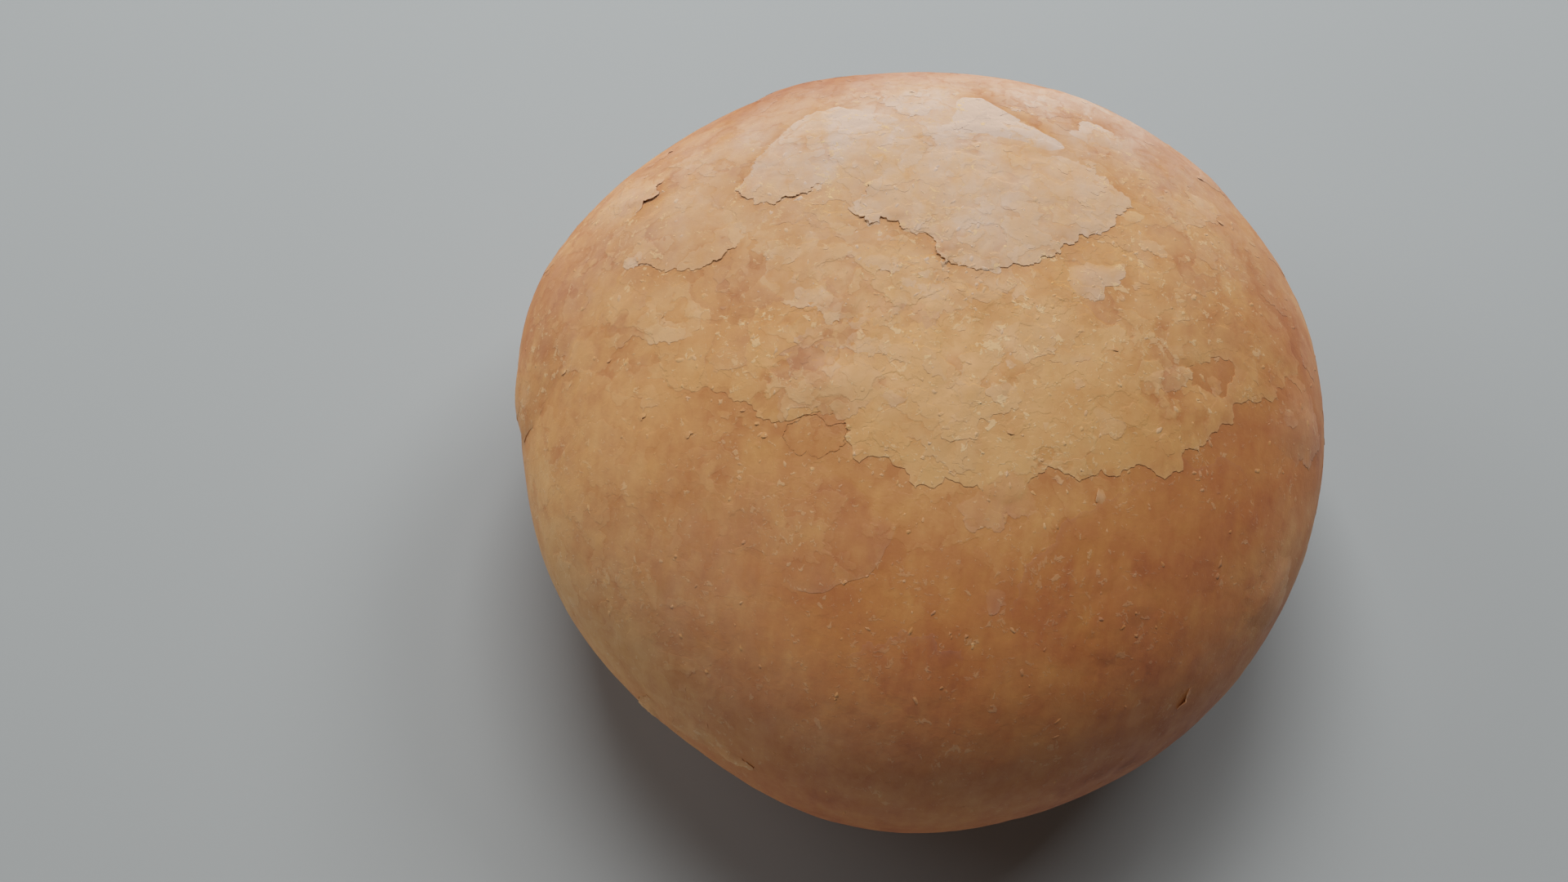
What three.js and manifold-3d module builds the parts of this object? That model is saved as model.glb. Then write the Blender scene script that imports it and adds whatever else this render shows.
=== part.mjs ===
// A round crusty bread roll: one solid body whose thin crust has flaked into raised, ragged plates.
// Millimetres, +Z up. The origin is the middle of the underside, and the roll rests on z = 0.
import * as THREE from "three";
import { mergeVertices } from "three/addons/utils/BufferGeometryUtils.js";
import Module from "manifold-3d";

const wasm = await Module();
wasm.setup();

// Driving dimensions of the whole roll.
const WIDTH = 102; // mean width at the waist, the widest line round the roll
const HEIGHT = 57.3; // to the crown of the bare dough, under the skin and plates
const WAIST_HEIGHT = 24;
const CROWN_FULLNESS = 2.2; // 2 is an ellipse, and more is squarer
const BELLY_FULLNESS = 2.1;
const BELLY_DEPTH = 29.8; // how far the belly would reach below the waist if nothing flattened it
const FOOT_HEIGHT = 24.5; // drop from the waist to the flattened foot, before it is pressed flat
const FOOT_SHARPNESS = 30; // higher gives a tighter curve where the side turns into the foot
const HUB = new THREE.Vector3(0.95, 0.64, WAIST_HEIGHT); // all shapes are measured outwards from here

// The waist isn't quite a circle: each lobe adds a wave of so many crests, one of them at an azimuth.
const WAIST_LOBES = [
  { crests: 2, size: 0.22, azimuth: 7 },
  { crests: 3, size: 0.68, azimuth: 44 },
  { crests: 4, size: 0.26, azimuth: 0 },
  { crests: 6, size: 0.17, azimuth: -10 },
  { crests: 7, size: 0.23, azimuth: 16 },
  { crests: 8, size: 0.11, azimuth: -6 },
];

// Soft unevenness of the baked dough: waves that cross the roll in evenly spread directions.
const SWELL_HEIGHT = 0.1;
const SWELL_WAVES = 8;
const SWELL_TIGHTNESS = { least: 3, most: 8 }; // radians of wave over the length of a unit direction
const SWELL_FADE = { gone: -0.8, full: -0.3 }; // rise of the directions between which the foot turns even

const CORE_DETAIL = 13; // the body has 20 * (CORE_DETAIL + 1) ** 2 triangles
const CORNERS_PER_MM = 2.6; // corners of a plate's outline for each millimetre of its longest reach
const FEWEST_CORNERS = 18;
const MOST_CORNERS = 72;
const RING_SPACING = 5; // between the rings of corners that a plate's top is made of
const CUT_CORNERS = { barePlace: 16, crack: 12 };
const RAGGEDNESS = { plate: 0.09, barePlace: 0.12, crack: 0.3 }; // share of the reach
const ROOT_DEPTH = 1.6; // how far a plate runs down into the crust that carries it
const CUT_HEADROOM = 2.5; // how far a cut starts above the crust
const SAME_POINT = 1e-4; // points closer than this are one
const SEED = 4127;

// Levels of the crust above the bare dough.
const SKIN = 0.5; // the skin over the top of the roll
const CURL = 0.16; // how much higher the rim of a plate stands than its middle
const MERGE = 0.55; // how far a plate sinks into the crust on the side away from its open edge

// Plates of crust. azimuth (from +X, anticlockwise) and fall (from the crown) place the middle in degrees.
// open is the bearing of the edge that stands off, in degrees from the +X side, anticlockwise.
// reach is the distance to the edge at even bearings, the first towards +X, anticlockwise.
const CAP = {
  azimuth: 148,
  fall: 5,
  lift: SKIN,
  open: -80,
  merge: 0,
  reach: [37, 37, 34, 32, 32, 32, 32, 31, 31, 33, 34, 35, 37, 33, 27, 22, 20, 19, 22, 24, 26, 27, 31, 33],
};

const WIDEST_PLATE = {
  azimuth: 72,
  fall: 23,
  lift: SKIN + 0.6,
  open: -60,
  merge: 0.3,
  reach: [13.1, 15.7, 12.7, 10.5, 10.6, 10.7, 11.1, 12, 13.9, 15, 9.1, 11.5, 10.3, 9.2, 9.3, 10.2],
};
const FAR_PLATE = {
  azimuth: 82,
  fall: 41,
  lift: SKIN + 0.5,
  open: -60,
  reach: [8.4, 5.2, 4.5, 5.3, 8.2, 6.6, 7.5, 3.5, 1.6, 1.6, 1.8, 3.3],
};

// The run of plates down the left shoulder, from the crown outwards.
const SHOULDER_PLATES = [
  {
    azimuth: 136,
    fall: 40,
    lift: SKIN + 0.5,
    open: -110,
    reach: [8.4, 7.8, 8.5, 11, 7, 5.4, 5.4, 7.3, 9.5, 7, 5.6, 7],
  },
  {
    azimuth: 168,
    fall: 48,
    lift: SKIN + 0.45,
    open: -80,
    reach: [7.3, 5.8, 5.4, 6.4, 7, 6.6, 8.4, 7.5, 6, 6.6, 7.6, 8],
  },
  { azimuth: -173, fall: 53, lift: SKIN + 0.3, open: -90, reach: [3.2, 3, 3.2, 4, 6.3, 6, 5.4, 5.1, 5.7, 5] },
];

// The blistered plate left of the crown, and small scraps round it.
const CROWN_PLATES = [
  { azimuth: 180, fall: 17, lift: SKIN + 0.35, open: -90, reach: [10, 8, 6, 6, 7, 9, 9, 8, 5, 5, 7, 8] },
  { azimuth: 17, fall: 29, lift: SKIN + 0.35, open: -30, reach: [2.5, 4, 2, 2.5, 2.5, 3, 2.5, 2] },
  { azimuth: -10, fall: 42, lift: SKIN + 0.35, open: 0, reach: [2.5, 3, 2, 2, 3, 2.5, 2, 2] },
  { azimuth: -75, fall: 18, lift: SKIN + 0.25, open: -70, reach: [8, 6, 5, 6, 8, 6, 5, 5.5, 7, 6] },
  { azimuth: 10, fall: 52, lift: SKIN + 0.3, open: -40, reach: [6, 7, 8, 6, 5, 5, 6, 5] },
];

// The thick fold of crust down the left side, which ends in an abrupt step at its lower end.
const FOLD = {
  azimuth: -176,
  fall: 70,
  lift: 1.4,
  open: -95,
  merge: 1,
  reach: [7, 8, 11, 16, 19, 17, 15, 15.5, 14.6, 12.5, 10, 8],
};

// Flakes low on the front: one stands off the left foot, one is the edge of a smooth patch.
const FRONT_PLATES = [
  { azimuth: -116, fall: 86, lift: 0.75, open: -160, merge: 1, reach: [8, 5, 3, 3, 4.5, 6.5, 4, 3, 3, 5] },
  { azimuth: -108, fall: 46, lift: 0.3, open: -50, merge: 1, reach: [9, 7, 6, 8, 11, 12, 9, 7, 7, 8] },
];

// Bare places, where a scrap of the skin has come away.
const BARE_PLACES = [
  { azimuth: -170, fall: 34, floor: 0.08, reach: [3, 4, 3.5, 4.5, 3, 3.5, 3.5, 4.5] },
  { azimuth: -140, fall: 21, floor: 0.12, reach: [2.5, 3, 2, 2, 2.5, 3, 2, 2] },
  { azimuth: -119, fall: 35, floor: 0.08, reach: [3, 3, 2, 2.5, 3, 3, 2, 2] },
  { azimuth: -4, fall: 49, floor: 0.08, reach: [2.5, 3.5, 2.5, 2.5, 2.5, 3, 2.5, 2] },
];

// Cracks: a groove of the given length and width, running at a bearing.
const CRACKS = [
  { azimuth: 143, fall: 21, length: 5, width: 1.1, bearing: -8, floor: -0.35 },
  { azimuth: 155, fall: 37, length: 6, width: 0.7, bearing: 12, floor: -0.1 },
  { azimuth: 128, fall: 26, length: 3, width: 0.6, bearing: 55, floor: -0.1 },
  { azimuth: 159, fall: 58, length: 5.5, width: 0.7, bearing: 48, floor: -0.3 },
  { azimuth: -45, fall: 78, length: 2, width: 0.6, bearing: 62, floor: -0.6 },
];

// Plates round the far side and low down, their places and sizes spread by the golden section.
const SCATTERED = {
  count: 9,
  azimuth: [-50, 150],
  fall: [60, 84],
  spread: [4.5, 8.5],
  lift: [0.3, 0.5],
  unevenness: [0.75, 1.25], // of the reach from corner to corner, as a share of the plate's spread
  turn: [-70, 70], // of the open edge from straight down the side
  corners: 9,
};

const UP = new THREE.Vector3(0, 0, 1);

/** A repeatable source of numbers from 0 to 1. */
function seededDraw(seed) {
  let state = seed >>> 0;
  return () => {
    state = (state + 0x6d2b79f5) >>> 0;
    let mixed = Math.imul(state ^ (state >>> 15), state | 1);
    mixed ^= mixed + Math.imul(mixed ^ (mixed >>> 7), mixed | 61);
    return ((mixed ^ (mixed >>> 14)) >>> 0) / 4294967296;
  };
}

const draw = seededDraw(SEED);
const drawBetween = ([low, high]) => low + (high - low) * draw();

/** The unit direction at an azimuth and a fall from the crown, in degrees. */
function direction(azimuth, fall) {
  const phi = THREE.MathUtils.degToRad(fall);
  const theta = THREE.MathUtils.degToRad(azimuth);
  return new THREE.Vector3(Math.sin(phi) * Math.cos(theta), Math.sin(phi) * Math.sin(theta), Math.cos(phi));
}

/** The part of a number after its point. */
const fraction = (value) => value - Math.floor(value);

const GOLDEN = (Math.sqrt(5) - 1) / 2;

/** A number from a range, spread evenly over successive steps by the golden section. */
const spreadBetween = ([low, high], step) => THREE.MathUtils.lerp(low, high, fraction(step * GOLDEN));

/** The waves of the soft unevenness, spread by the golden section. */
const swells = Array.from({ length: SWELL_WAVES }, (_, wave) => {
  const { least, most } = SWELL_TIGHTNESS;
  const fall = THREE.MathUtils.radToDeg(Math.acos(1 - wave / SWELL_WAVES));
  return {
    along: direction(360 * fraction(wave * GOLDEN), fall),
    tightness: THREE.MathUtils.lerp(least, most, fraction(3 * wave * GOLDEN)),
    phase: 2 * Math.PI * fraction(7 * wave * GOLDEN),
  };
});

/** The waist's radius at an azimuth in radians. */
function waistRadius(theta) {
  return WAIST_LOBES.reduce(
    (radius, { crests, size, azimuth }) =>
      radius + size * Math.cos(crests * (theta - THREE.MathUtils.degToRad(azimuth))),
    WIDTH / 2,
  );
}

/** How far the soft unevenness stands out along a direction. */
function swell(way) {
  const waves = swells.map(({ along, tightness, phase }) => Math.sin(tightness * way.dot(along) + phase));
  const height = SWELL_HEIGHT * waves.reduce((sum, wave) => sum + wave, 0);
  return height * THREE.MathUtils.smoothstep(way.z, SWELL_FADE.gone, SWELL_FADE.full);
}

/** The distance from the hub to the bare crust along a unit direction. */
function crustDistance(way) {
  const radius = waistRadius(Math.atan2(way.y, way.x));
  const across = Math.hypot(way.x, way.y) / radius;
  const rise = Math.abs(way.z);
  if (way.z >= 0) {
    const height = HEIGHT - WAIST_HEIGHT;
    return (across ** CROWN_FULLNESS + (rise / height) ** CROWN_FULLNESS) ** (-1 / CROWN_FULLNESS);
  }
  const belly = (across ** BELLY_FULLNESS + (rise / BELLY_DEPTH) ** BELLY_FULLNESS) ** (1 / BELLY_FULLNESS);
  return (belly ** FOOT_SHARPNESS + (rise / FOOT_HEIGHT) ** FOOT_SHARPNESS) ** (-1 / FOOT_SHARPNESS);
}

/** The point a given height above the crust along a direction, never below the plane the roll rests on. */
function crustPoint(way, lift) {
  const point = way.clone().multiplyScalar(crustDistance(way) + swell(way) + lift).add(HUB);
  point.z = Math.max(point.z, 0);
  return point;
}

/** The direction of the place that lies so far from a middle, at a bearing in radians, along the crust. */
function directionFrom(middle, distance, bearing) {
  const angle = distance / crustDistance(middle);
  return new THREE.Vector3(
    Math.sin(angle) * Math.cos(bearing),
    Math.sin(angle) * Math.sin(bearing),
    Math.cos(angle),
  ).applyQuaternion(new THREE.Quaternion().setFromUnitVectors(UP, middle));
}

/** A closed geometry of the given points and triangles. */
function geometryOf(points, triangles) {
  const geometry = new THREE.BufferGeometry();
  geometry.setAttribute("position", new THREE.Float32BufferAttribute(points.flatMap((p) => p.toArray()), 3));
  geometry.setIndex(triangles.flat());
  return geometry;
}

/** The solid of a closed geometry. */
function solidOf(geometry) {
  const bare = new THREE.BufferGeometry();
  bare.setAttribute("position", geometry.getAttribute("position"));
  bare.setIndex(geometry.index);
  const merged = mergeVertices(bare, SAME_POINT);
  const vertProperties = merged.attributes.position.array;
  const triVerts = new Uint32Array(merged.index.array);
  return new wasm.Manifold(new wasm.Mesh({ numProp: 3, vertProperties, triVerts }));
}

/** The geometry of a solid. */
function geometryOfSolid(solid) {
  const { numProp, vertProperties, triVerts } = solid.getMesh();
  const positions = new Float32Array((vertProperties.length / numProp) * 3);
  for (let vertex = 0; vertex < positions.length / 3; vertex++) {
    positions.set(vertProperties.subarray(vertex * numProp, vertex * numProp + 3), vertex * 3);
  }
  const geometry = new THREE.BufferGeometry();
  geometry.setAttribute("position", new THREE.BufferAttribute(positions, 3));
  geometry.setIndex(new THREE.BufferAttribute(triVerts, 1));
  geometry.computeVertexNormals();
  return geometry;
}

/** The dough body: a sphere's even triangles moved out to the crust. */
function bodyGeometry() {
  const sphere = new THREE.IcosahedronGeometry(1, CORE_DETAIL);
  sphere.deleteAttribute("normal");
  sphere.deleteAttribute("uv");
  const body = mergeVertices(sphere, SAME_POINT);
  const positions = body.attributes.position;
  const way = new THREE.Vector3();
  for (let vertex = 0; vertex < positions.count; vertex++) {
    way.fromBufferAttribute(positions, vertex).normalize();
    positions.setXYZ(vertex, ...crustPoint(way, 0).toArray());
  }
  return body;
}

/** The corners of a ragged outline, each a bearing and a distance, from the reaches at even bearings. */
function raggedOutline(reach, corners, raggedness) {
  const waves = [3, 5, 8, 13].map((count) => ({ count, phase: drawBetween([0, 2 * Math.PI]) }));
  return Array.from({ length: corners }, (_, corner) => {
    const share = corner / corners;
    const place = share * reach.length;
    const before = Math.floor(place);
    const blend = THREE.MathUtils.smoothstep(place - before, 0, 1);
    const smooth = THREE.MathUtils.lerp(reach[before], reach[(before + 1) % reach.length], blend);
    const waviness = waves.reduce(
      (sum, { count, phase }) => sum + Math.sin(count * share * 2 * Math.PI + phase) / waves.length,
      0,
    );
    const tooth = drawBetween([-1, 1]);
    return { bearing: share * 2 * Math.PI, distance: smooth * (1 + raggedness * (waviness + 0.6 * tooth)) };
  });
}

/**
 * A closed slab that follows the crust inside an outline, down to one height above it. Its top is at
 * topLift(share, bearing), with share from 0 in the middle to 1 at the rim.
 */
function slabGeometry(middle, outline, rings, topLift, bottomLift) {
  const points = [crustPoint(middle, topLift(0, 0)), crustPoint(middle, bottomLift)];
  const triangles = [];
  const corners = outline.length;
  const ringStart = (ring) => 2 + (ring - 1) * corners;
  for (let ring = 1; ring <= rings; ring++) {
    const share = ring / rings;
    for (const { bearing, distance } of outline) {
      const way = directionFrom(middle, distance * share, bearing);
      points.push(crustPoint(way, topLift(share, bearing)));
    }
  }
  const bottomStart = points.length;
  for (const { bearing, distance } of outline) {
    points.push(crustPoint(directionFrom(middle, distance, bearing), bottomLift));
  }
  for (let corner = 0; corner < corners; corner++) {
    const next = (corner + 1) % corners;
    triangles.push([0, ringStart(1) + corner, ringStart(1) + next]);
    for (let ring = 1; ring < rings; ring++) {
      const [inner, outer] = [ringStart(ring), ringStart(ring + 1)];
      triangles.push([inner + corner, outer + corner, outer + next]);
      triangles.push([inner + corner, outer + next, inner + next]);
    }
    const rim = ringStart(rings);
    triangles.push([rim + corner, bottomStart + corner, bottomStart + next]);
    triangles.push([rim + corner, bottomStart + next, rim + next]);
    triangles.push([1, bottomStart + next, bottomStart + corner]);
  }
  return geometryOf(points, triangles);
}

/** A plate of crust: its rim curls a little outwards, and it sinks in on the side away from its open edge. */
function plate({ azimuth, fall, lift, reach, open, merge = MERGE }) {
  const widest = Math.max(...reach);
  const corners = THREE.MathUtils.clamp(Math.round(widest * CORNERS_PER_MM), FEWEST_CORNERS, MOST_CORNERS);
  const rings = Math.max(2, Math.round(widest / RING_SPACING));
  const outline = raggedOutline(reach, corners, RAGGEDNESS.plate);
  const openBearing = THREE.MathUtils.degToRad(open);
  const topLift = (share, bearing) => {
    const away = (share * (1 - Math.cos(bearing - openBearing))) / 2;
    return (lift + CURL * (share ** 4 - 0.5)) * (1 - merge * away);
  };
  return solidOf(slabGeometry(direction(azimuth, fall), outline, rings, topLift, -ROOT_DEPTH));
}

/** The space of a bare place, down to its floor. */
function barePlace({ azimuth, fall, floor, reach }) {
  const outline = raggedOutline(reach, CUT_CORNERS.barePlace, RAGGEDNESS.barePlace);
  return solidOf(slabGeometry(direction(azimuth, fall), outline, 1, () => CUT_HEADROOM, floor));
}

/** The space of a crack, pointed at both ends. */
function crack({ azimuth, fall, length, width, bearing, floor }) {
  const turn = THREE.MathUtils.degToRad(bearing);
  const outline = Array.from({ length: CUT_CORNERS.crack }, (_, corner) => {
    const angle = (corner / CUT_CORNERS.crack) * 2 * Math.PI;
    const along = (length / 2) * Math.cos(angle);
    const across = (width / 2) * Math.sin(angle) * (1 + RAGGEDNESS.crack * drawBetween([-1, 1]));
    return { bearing: turn + Math.atan2(across, along), distance: Math.hypot(along, across) };
  });
  return solidOf(slabGeometry(direction(azimuth, fall), outline, 1, () => CUT_HEADROOM, floor));
}

/** The scattered plates, whose open edges look down the side. */
function scatteredPlates() {
  const { count, azimuth, fall, spread, lift, unevenness, turn, corners } = SCATTERED;
  const step = (azimuth[1] - azimuth[0]) / count;
  return Array.from({ length: count }, (_, index) => {
    const place = azimuth[0] + step * (index + fraction(5 * index * GOLDEN));
    const size = spreadBetween(spread, 2 * index);
    return {
      azimuth: place,
      fall: spreadBetween(fall, index),
      lift: spreadBetween(lift, 3 * index),
      open: place + spreadBetween(turn, 6 * index),
      reach: Array.from(
        { length: corners },
        (_, corner) => size * spreadBetween(unevenness, 7 * (index * corners + corner)),
      ),
    };
  });
}

/** The whole roll: the body, the skin and its plates, less the bare places and cracks. */
function rollGeometry() {
  const skin = BARE_PLACES.reduce((rest, place) => rest.subtract(barePlace(place)), plate(CAP));
  const single = [WIDEST_PLATE, FAR_PLATE, FOLD];
  const raised = [...single, ...SHOULDER_PLATES, ...CROWN_PLATES, ...FRONT_PLATES, ...scatteredPlates()];
  const crusted = raised.reduce((whole, piece) => whole.add(plate(piece)), solidOf(bodyGeometry()).add(skin));
  return geometryOfSolid(CRACKS.reduce((whole, groove) => whole.subtract(crack(groove)), crusted));
}

const crust = new THREE.MeshStandardMaterial({ color: 0xc08d58, roughness: 0.72, metalness: 0 });

const roll = new THREE.Group();
const breadRoll = new THREE.Mesh(rollGeometry(), crust);
breadRoll.name = "bread_roll";
roll.add(breadRoll);

export default roll;
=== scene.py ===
"""A round crusty bread roll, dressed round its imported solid.

The roll is a smooth dough body under a thin dry skin. The skin has torn and lifted into ragged plates
on top, and carries small scraps and pale flecks. It lies on a plain floor in soft studio light.

Every size is in millimetres until a mesh is built, which is in metres.
"""

import logging
import math
from collections.abc import Iterable, Mapping, Sequence
from dataclasses import dataclass, field
from enum import Enum

import bmesh
import bpy
import numpy as np
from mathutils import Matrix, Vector, noise
from mathutils.geometry import delaunay_2d_cdt


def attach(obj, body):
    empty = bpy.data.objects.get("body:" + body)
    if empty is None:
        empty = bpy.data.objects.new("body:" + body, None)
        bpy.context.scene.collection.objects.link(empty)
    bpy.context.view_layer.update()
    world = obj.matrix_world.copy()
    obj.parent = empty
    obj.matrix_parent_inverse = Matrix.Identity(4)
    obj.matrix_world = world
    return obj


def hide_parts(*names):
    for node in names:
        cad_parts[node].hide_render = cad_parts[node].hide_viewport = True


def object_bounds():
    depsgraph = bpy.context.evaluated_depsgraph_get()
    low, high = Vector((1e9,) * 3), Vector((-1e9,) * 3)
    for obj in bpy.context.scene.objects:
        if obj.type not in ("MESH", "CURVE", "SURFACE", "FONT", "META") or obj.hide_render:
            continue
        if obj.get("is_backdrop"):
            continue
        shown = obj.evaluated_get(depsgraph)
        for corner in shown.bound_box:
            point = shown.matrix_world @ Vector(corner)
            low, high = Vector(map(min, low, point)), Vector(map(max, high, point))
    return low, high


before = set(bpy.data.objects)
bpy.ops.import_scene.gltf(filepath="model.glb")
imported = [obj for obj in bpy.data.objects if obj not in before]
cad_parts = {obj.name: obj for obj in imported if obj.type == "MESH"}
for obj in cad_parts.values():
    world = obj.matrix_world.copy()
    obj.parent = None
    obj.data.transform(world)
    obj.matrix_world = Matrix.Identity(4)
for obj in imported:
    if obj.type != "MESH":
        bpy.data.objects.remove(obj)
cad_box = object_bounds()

NODE = "bread_roll"
BODY = "root"
MM = 0.001
GOLDEN = (math.sqrt(5) - 1) / 2
FULL_TURN = 2 * math.pi
MOST_PAIRS = 1_000_000
TINY = 1e-9
SEED = 4127

Array = np.ndarray
Draw = np.random.Generator
Span = tuple[float, float]
Colour = tuple[float, float, float]
Piece = bpy.types.Object
Tree = bpy.types.NodeTree
Socket = bpy.types.NodeSocket
Wire = Socket | float | tuple[float, ...]
log = logging.getLogger("bread_roll")


# ---------------------------------------------------------------------------------------------------
# Plain mathematics
# ---------------------------------------------------------------------------------------------------


def fraction(value: float) -> float:
    """Returns the part of a number after its point."""
    return value - math.floor(value)


def smooth_step(values: Array, low: float, high: float) -> Array:
    """Returns 0 below low, 1 above high, and a smooth rise between them.

    Args:
        values: The numbers to map.
        low: Where the rise starts.
        high: Where it ends.

    Returns:
        An array of the same shape, from 0 to 1.
    """
    share = np.clip((values - low) / (high - low), 0.0, 1.0)
    return share * share * (3.0 - 2.0 * share)


def bearings_of(spots: Array) -> Array:
    """Returns the bearings of flat spots round their origin, in radians."""
    return np.arctan2(spots[:, 1], spots[:, 0])


def turned(bearings: Array, bearing: float) -> Array:
    """Returns how far bearings in radians are turned from one in degrees, half a turn at most."""
    return np.angle(np.exp(1j * (bearings - math.radians(bearing))))


def direction(azimuth: float, fall: float) -> Array:
    """Returns the unit direction at an azimuth and a fall from the crown, in degrees."""
    theta, phi = math.radians(azimuth), math.radians(fall)
    return np.array([math.sin(phi) * math.cos(theta), math.sin(phi) * math.sin(theta), math.cos(phi)])


def turn_from_up(middle: Array) -> Array:
    """Returns the matrix of the shortest turn that takes +Z to a direction.

    Args:
        middle: A unit direction.

    Returns:
        A 3 by 3 rotation matrix.
    """
    x, y, z = middle
    cross = np.array([[0.0, 0.0, x], [0.0, 0.0, y], [-x, -y, 0.0]])
    return np.eye(3) + cross + cross @ cross / (1.0 + z)


def noise_at(points: Array, wavelength: float, octaves: int, shift: float) -> Array:
    """Returns smooth noise at points, about -1 to 1.

    Args:
        points: Places in millimetres, one row each.
        wavelength: The size of its largest lumps, in millimetres.
        octaves: How many layers it has, each half the size of the last.
        shift: Moves the pattern, so that two fields differ.

    Returns:
        One number for each point.
    """
    scaled = points / wavelength + shift
    values = (noise.fractal(Vector(row), 1.0, 2.0, octaves) for row in scaled.tolist())
    return np.fromiter(values, float, len(scaled))


# ---------------------------------------------------------------------------------------------------
# The dough
# ---------------------------------------------------------------------------------------------------


@dataclass(frozen=True)
class Lobe:
    """A wave round the waist: its number of crests, its size, and the azimuth of one crest in degrees."""

    crests: int
    size: float
    azimuth: float


@dataclass(frozen=True)
class Dough:
    """The bare baked dough. Everything is measured outwards from its hub, in the middle of the waist."""

    width: float = 102.0
    height: float = 57.3
    waist_height: float = 24.0
    crown_fullness: float = 2.2
    belly_fullness: float = 2.1
    belly_depth: float = 29.8
    foot_height: float = 24.5
    foot_sharpness: float = 30.0
    hub_x: float = 0.95
    hub_y: float = 0.64
    swell_height: float = 0.1
    swell_waves: int = 8
    swell_tightness: Span = (3.0, 8.0)
    swell_fade: Span = (-0.8, -0.3)
    lobes: tuple[Lobe, ...] = (
        Lobe(2, 0.22, 7.0),
        Lobe(3, 0.68, 44.0),
        Lobe(4, 0.26, 0.0),
        Lobe(6, 0.17, -10.0),
        Lobe(7, 0.23, 16.0),
        Lobe(8, 0.11, -6.0),
    )
    grain: tuple[tuple[float, float], ...] = ((11.0, 0.10), (3.6, 0.05), (1.3, 0.022))
    grain_fade: Span = (-0.85, -0.6)

    @property
    def hub(self) -> Array:
        """Returns the point that all shapes are measured from."""
        return np.array([self.hub_x, self.hub_y, self.waist_height])

    def distance(self, ways: Array) -> Array:
        """Returns how far the even surface lies from the hub.

        Args:
            ways: Unit directions, one row each.

        Returns:
            One distance for each direction.
        """
        theta = np.arctan2(ways[:, 1], ways[:, 0])
        radius = np.full(len(ways), self.width / 2)
        for lobe in self.lobes:
            radius += lobe.size * np.cos(lobe.crests * (theta - math.radians(lobe.azimuth)))
        across = np.hypot(ways[:, 0], ways[:, 1]) / radius
        rise = np.abs(ways[:, 2])
        crown, belly = self.crown_fullness, self.belly_fullness
        top = (across**crown + (rise / (self.height - self.waist_height)) ** crown) ** (1 / crown)
        low = (across**belly + (rise / self.belly_depth) ** belly) ** (1 / belly)
        sharp = self.foot_sharpness
        low = (low**sharp + (rise / self.foot_height) ** sharp) ** (1 / sharp)
        return 1.0 / np.where(ways[:, 2] >= 0, top, low)

    def swell(self, ways: Array) -> Array:
        """Returns the soft unevenness of the dough along directions.

        Args:
            ways: Unit directions, one row each.

        Returns:
            One height for each direction.
        """
        least, most = self.swell_tightness
        height = np.zeros(len(ways))
        for wave in range(self.swell_waves):
            fall = math.degrees(math.acos(1 - wave / self.swell_waves))
            along = ways @ direction(360 * fraction(wave * GOLDEN), fall)
            tightness = least + (most - least) * fraction(3 * wave * GOLDEN)
            height += np.sin(tightness * along + FULL_TURN * fraction(7 * wave * GOLDEN))
        return self.swell_height * height * smooth_step(ways[:, 2], *self.swell_fade)

    def surface(self, ways: Array, lift: Array | float) -> Array:
        """Returns the points a given height above the dough, with its fine unevenness.

        Args:
            ways: Unit directions, one row each.
            lift: The height above the dough, one for all or one for each direction.

        Returns:
            Points in millimetres, none below the plane that the roll rests on.
        """
        reach = self.distance(ways) + self.swell(ways)
        even = ways * reach[:, None]
        fade = smooth_step(ways[:, 2], *self.grain_fade)
        for wavelength, depth in self.grain:
            reach += depth * fade * noise_at(even, wavelength, octaves=2, shift=wavelength)
        points = ways * (reach + lift)[:, None] + self.hub
        points[:, 2] = np.maximum(points[:, 2], 0.0)
        return points

    def ways_round(self, middle: Array, spots: Array) -> Array:
        """Returns the directions of flat spots laid round a middle.

        Args:
            middle: The unit direction of the spots' origin.
            spots: Places in millimetres along the crust, x to the right and y away, one row each.

        Returns:
            Unit directions, one row each.
        """
        reach = self.distance(middle[None, :])[0]
        length = np.hypot(spots[:, 0], spots[:, 1])
        angle = length / reach
        flat = np.sin(angle) / np.where(length > TINY, length, 1.0)
        ways = np.column_stack([spots[:, 0] * flat, spots[:, 1] * flat, np.cos(angle)])
        return ways @ turn_from_up(middle).T

    def spots_round(self, middle: Array, ways: Array) -> Array:
        """Returns the flat spots of directions, the opposite of ways_round.

        Args:
            middle: The unit direction of the spots' origin.
            ways: Unit directions, one row each.

        Returns:
            Places in millimetres along the crust, one row each.
        """
        reach = self.distance(middle[None, :])[0]
        local = ways @ turn_from_up(middle)
        angle = np.arccos(np.clip(local[:, 2], -1.0, 1.0))
        length = np.hypot(local[:, 0], local[:, 1])
        scale = reach * angle / np.where(length > TINY, length, 1.0)
        return local[:, :2] * scale[:, None]


# ---------------------------------------------------------------------------------------------------
# Plates of crust
# ---------------------------------------------------------------------------------------------------


def in_blocks(rows: Array, count: int) -> list[Array]:
    """Splits rows so that each block, set against a count of other rows, stays small in memory."""
    return np.array_split(rows, 1 + len(rows) * count // MOST_PAIRS)


def inside(spots: Array, loop: Array) -> Array:
    """Returns which spots lie inside a closed loop.

    Args:
        spots: Places, one row each.
        loop: The loop's corners in order, one row each.

    Returns:
        True for each spot that is inside.
    """
    x, y = spots[:, :1], spots[:, 1:]
    sides = np.column_stack([loop, np.roll(loop, -1, axis=0)])
    sides = sides[sides[:, 1] != sides[:, 3]]
    crossings = np.zeros(len(spots), int)
    for ax, ay, bx, by in (block.T for block in in_blocks(sides, len(spots))):
        spans = (ay > y) != (by > y)
        crossings += (spans & (x < ax + (y - ay) * ((bx - ax) / (by - ay)))).sum(axis=1)
    return crossings % 2 == 1


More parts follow.
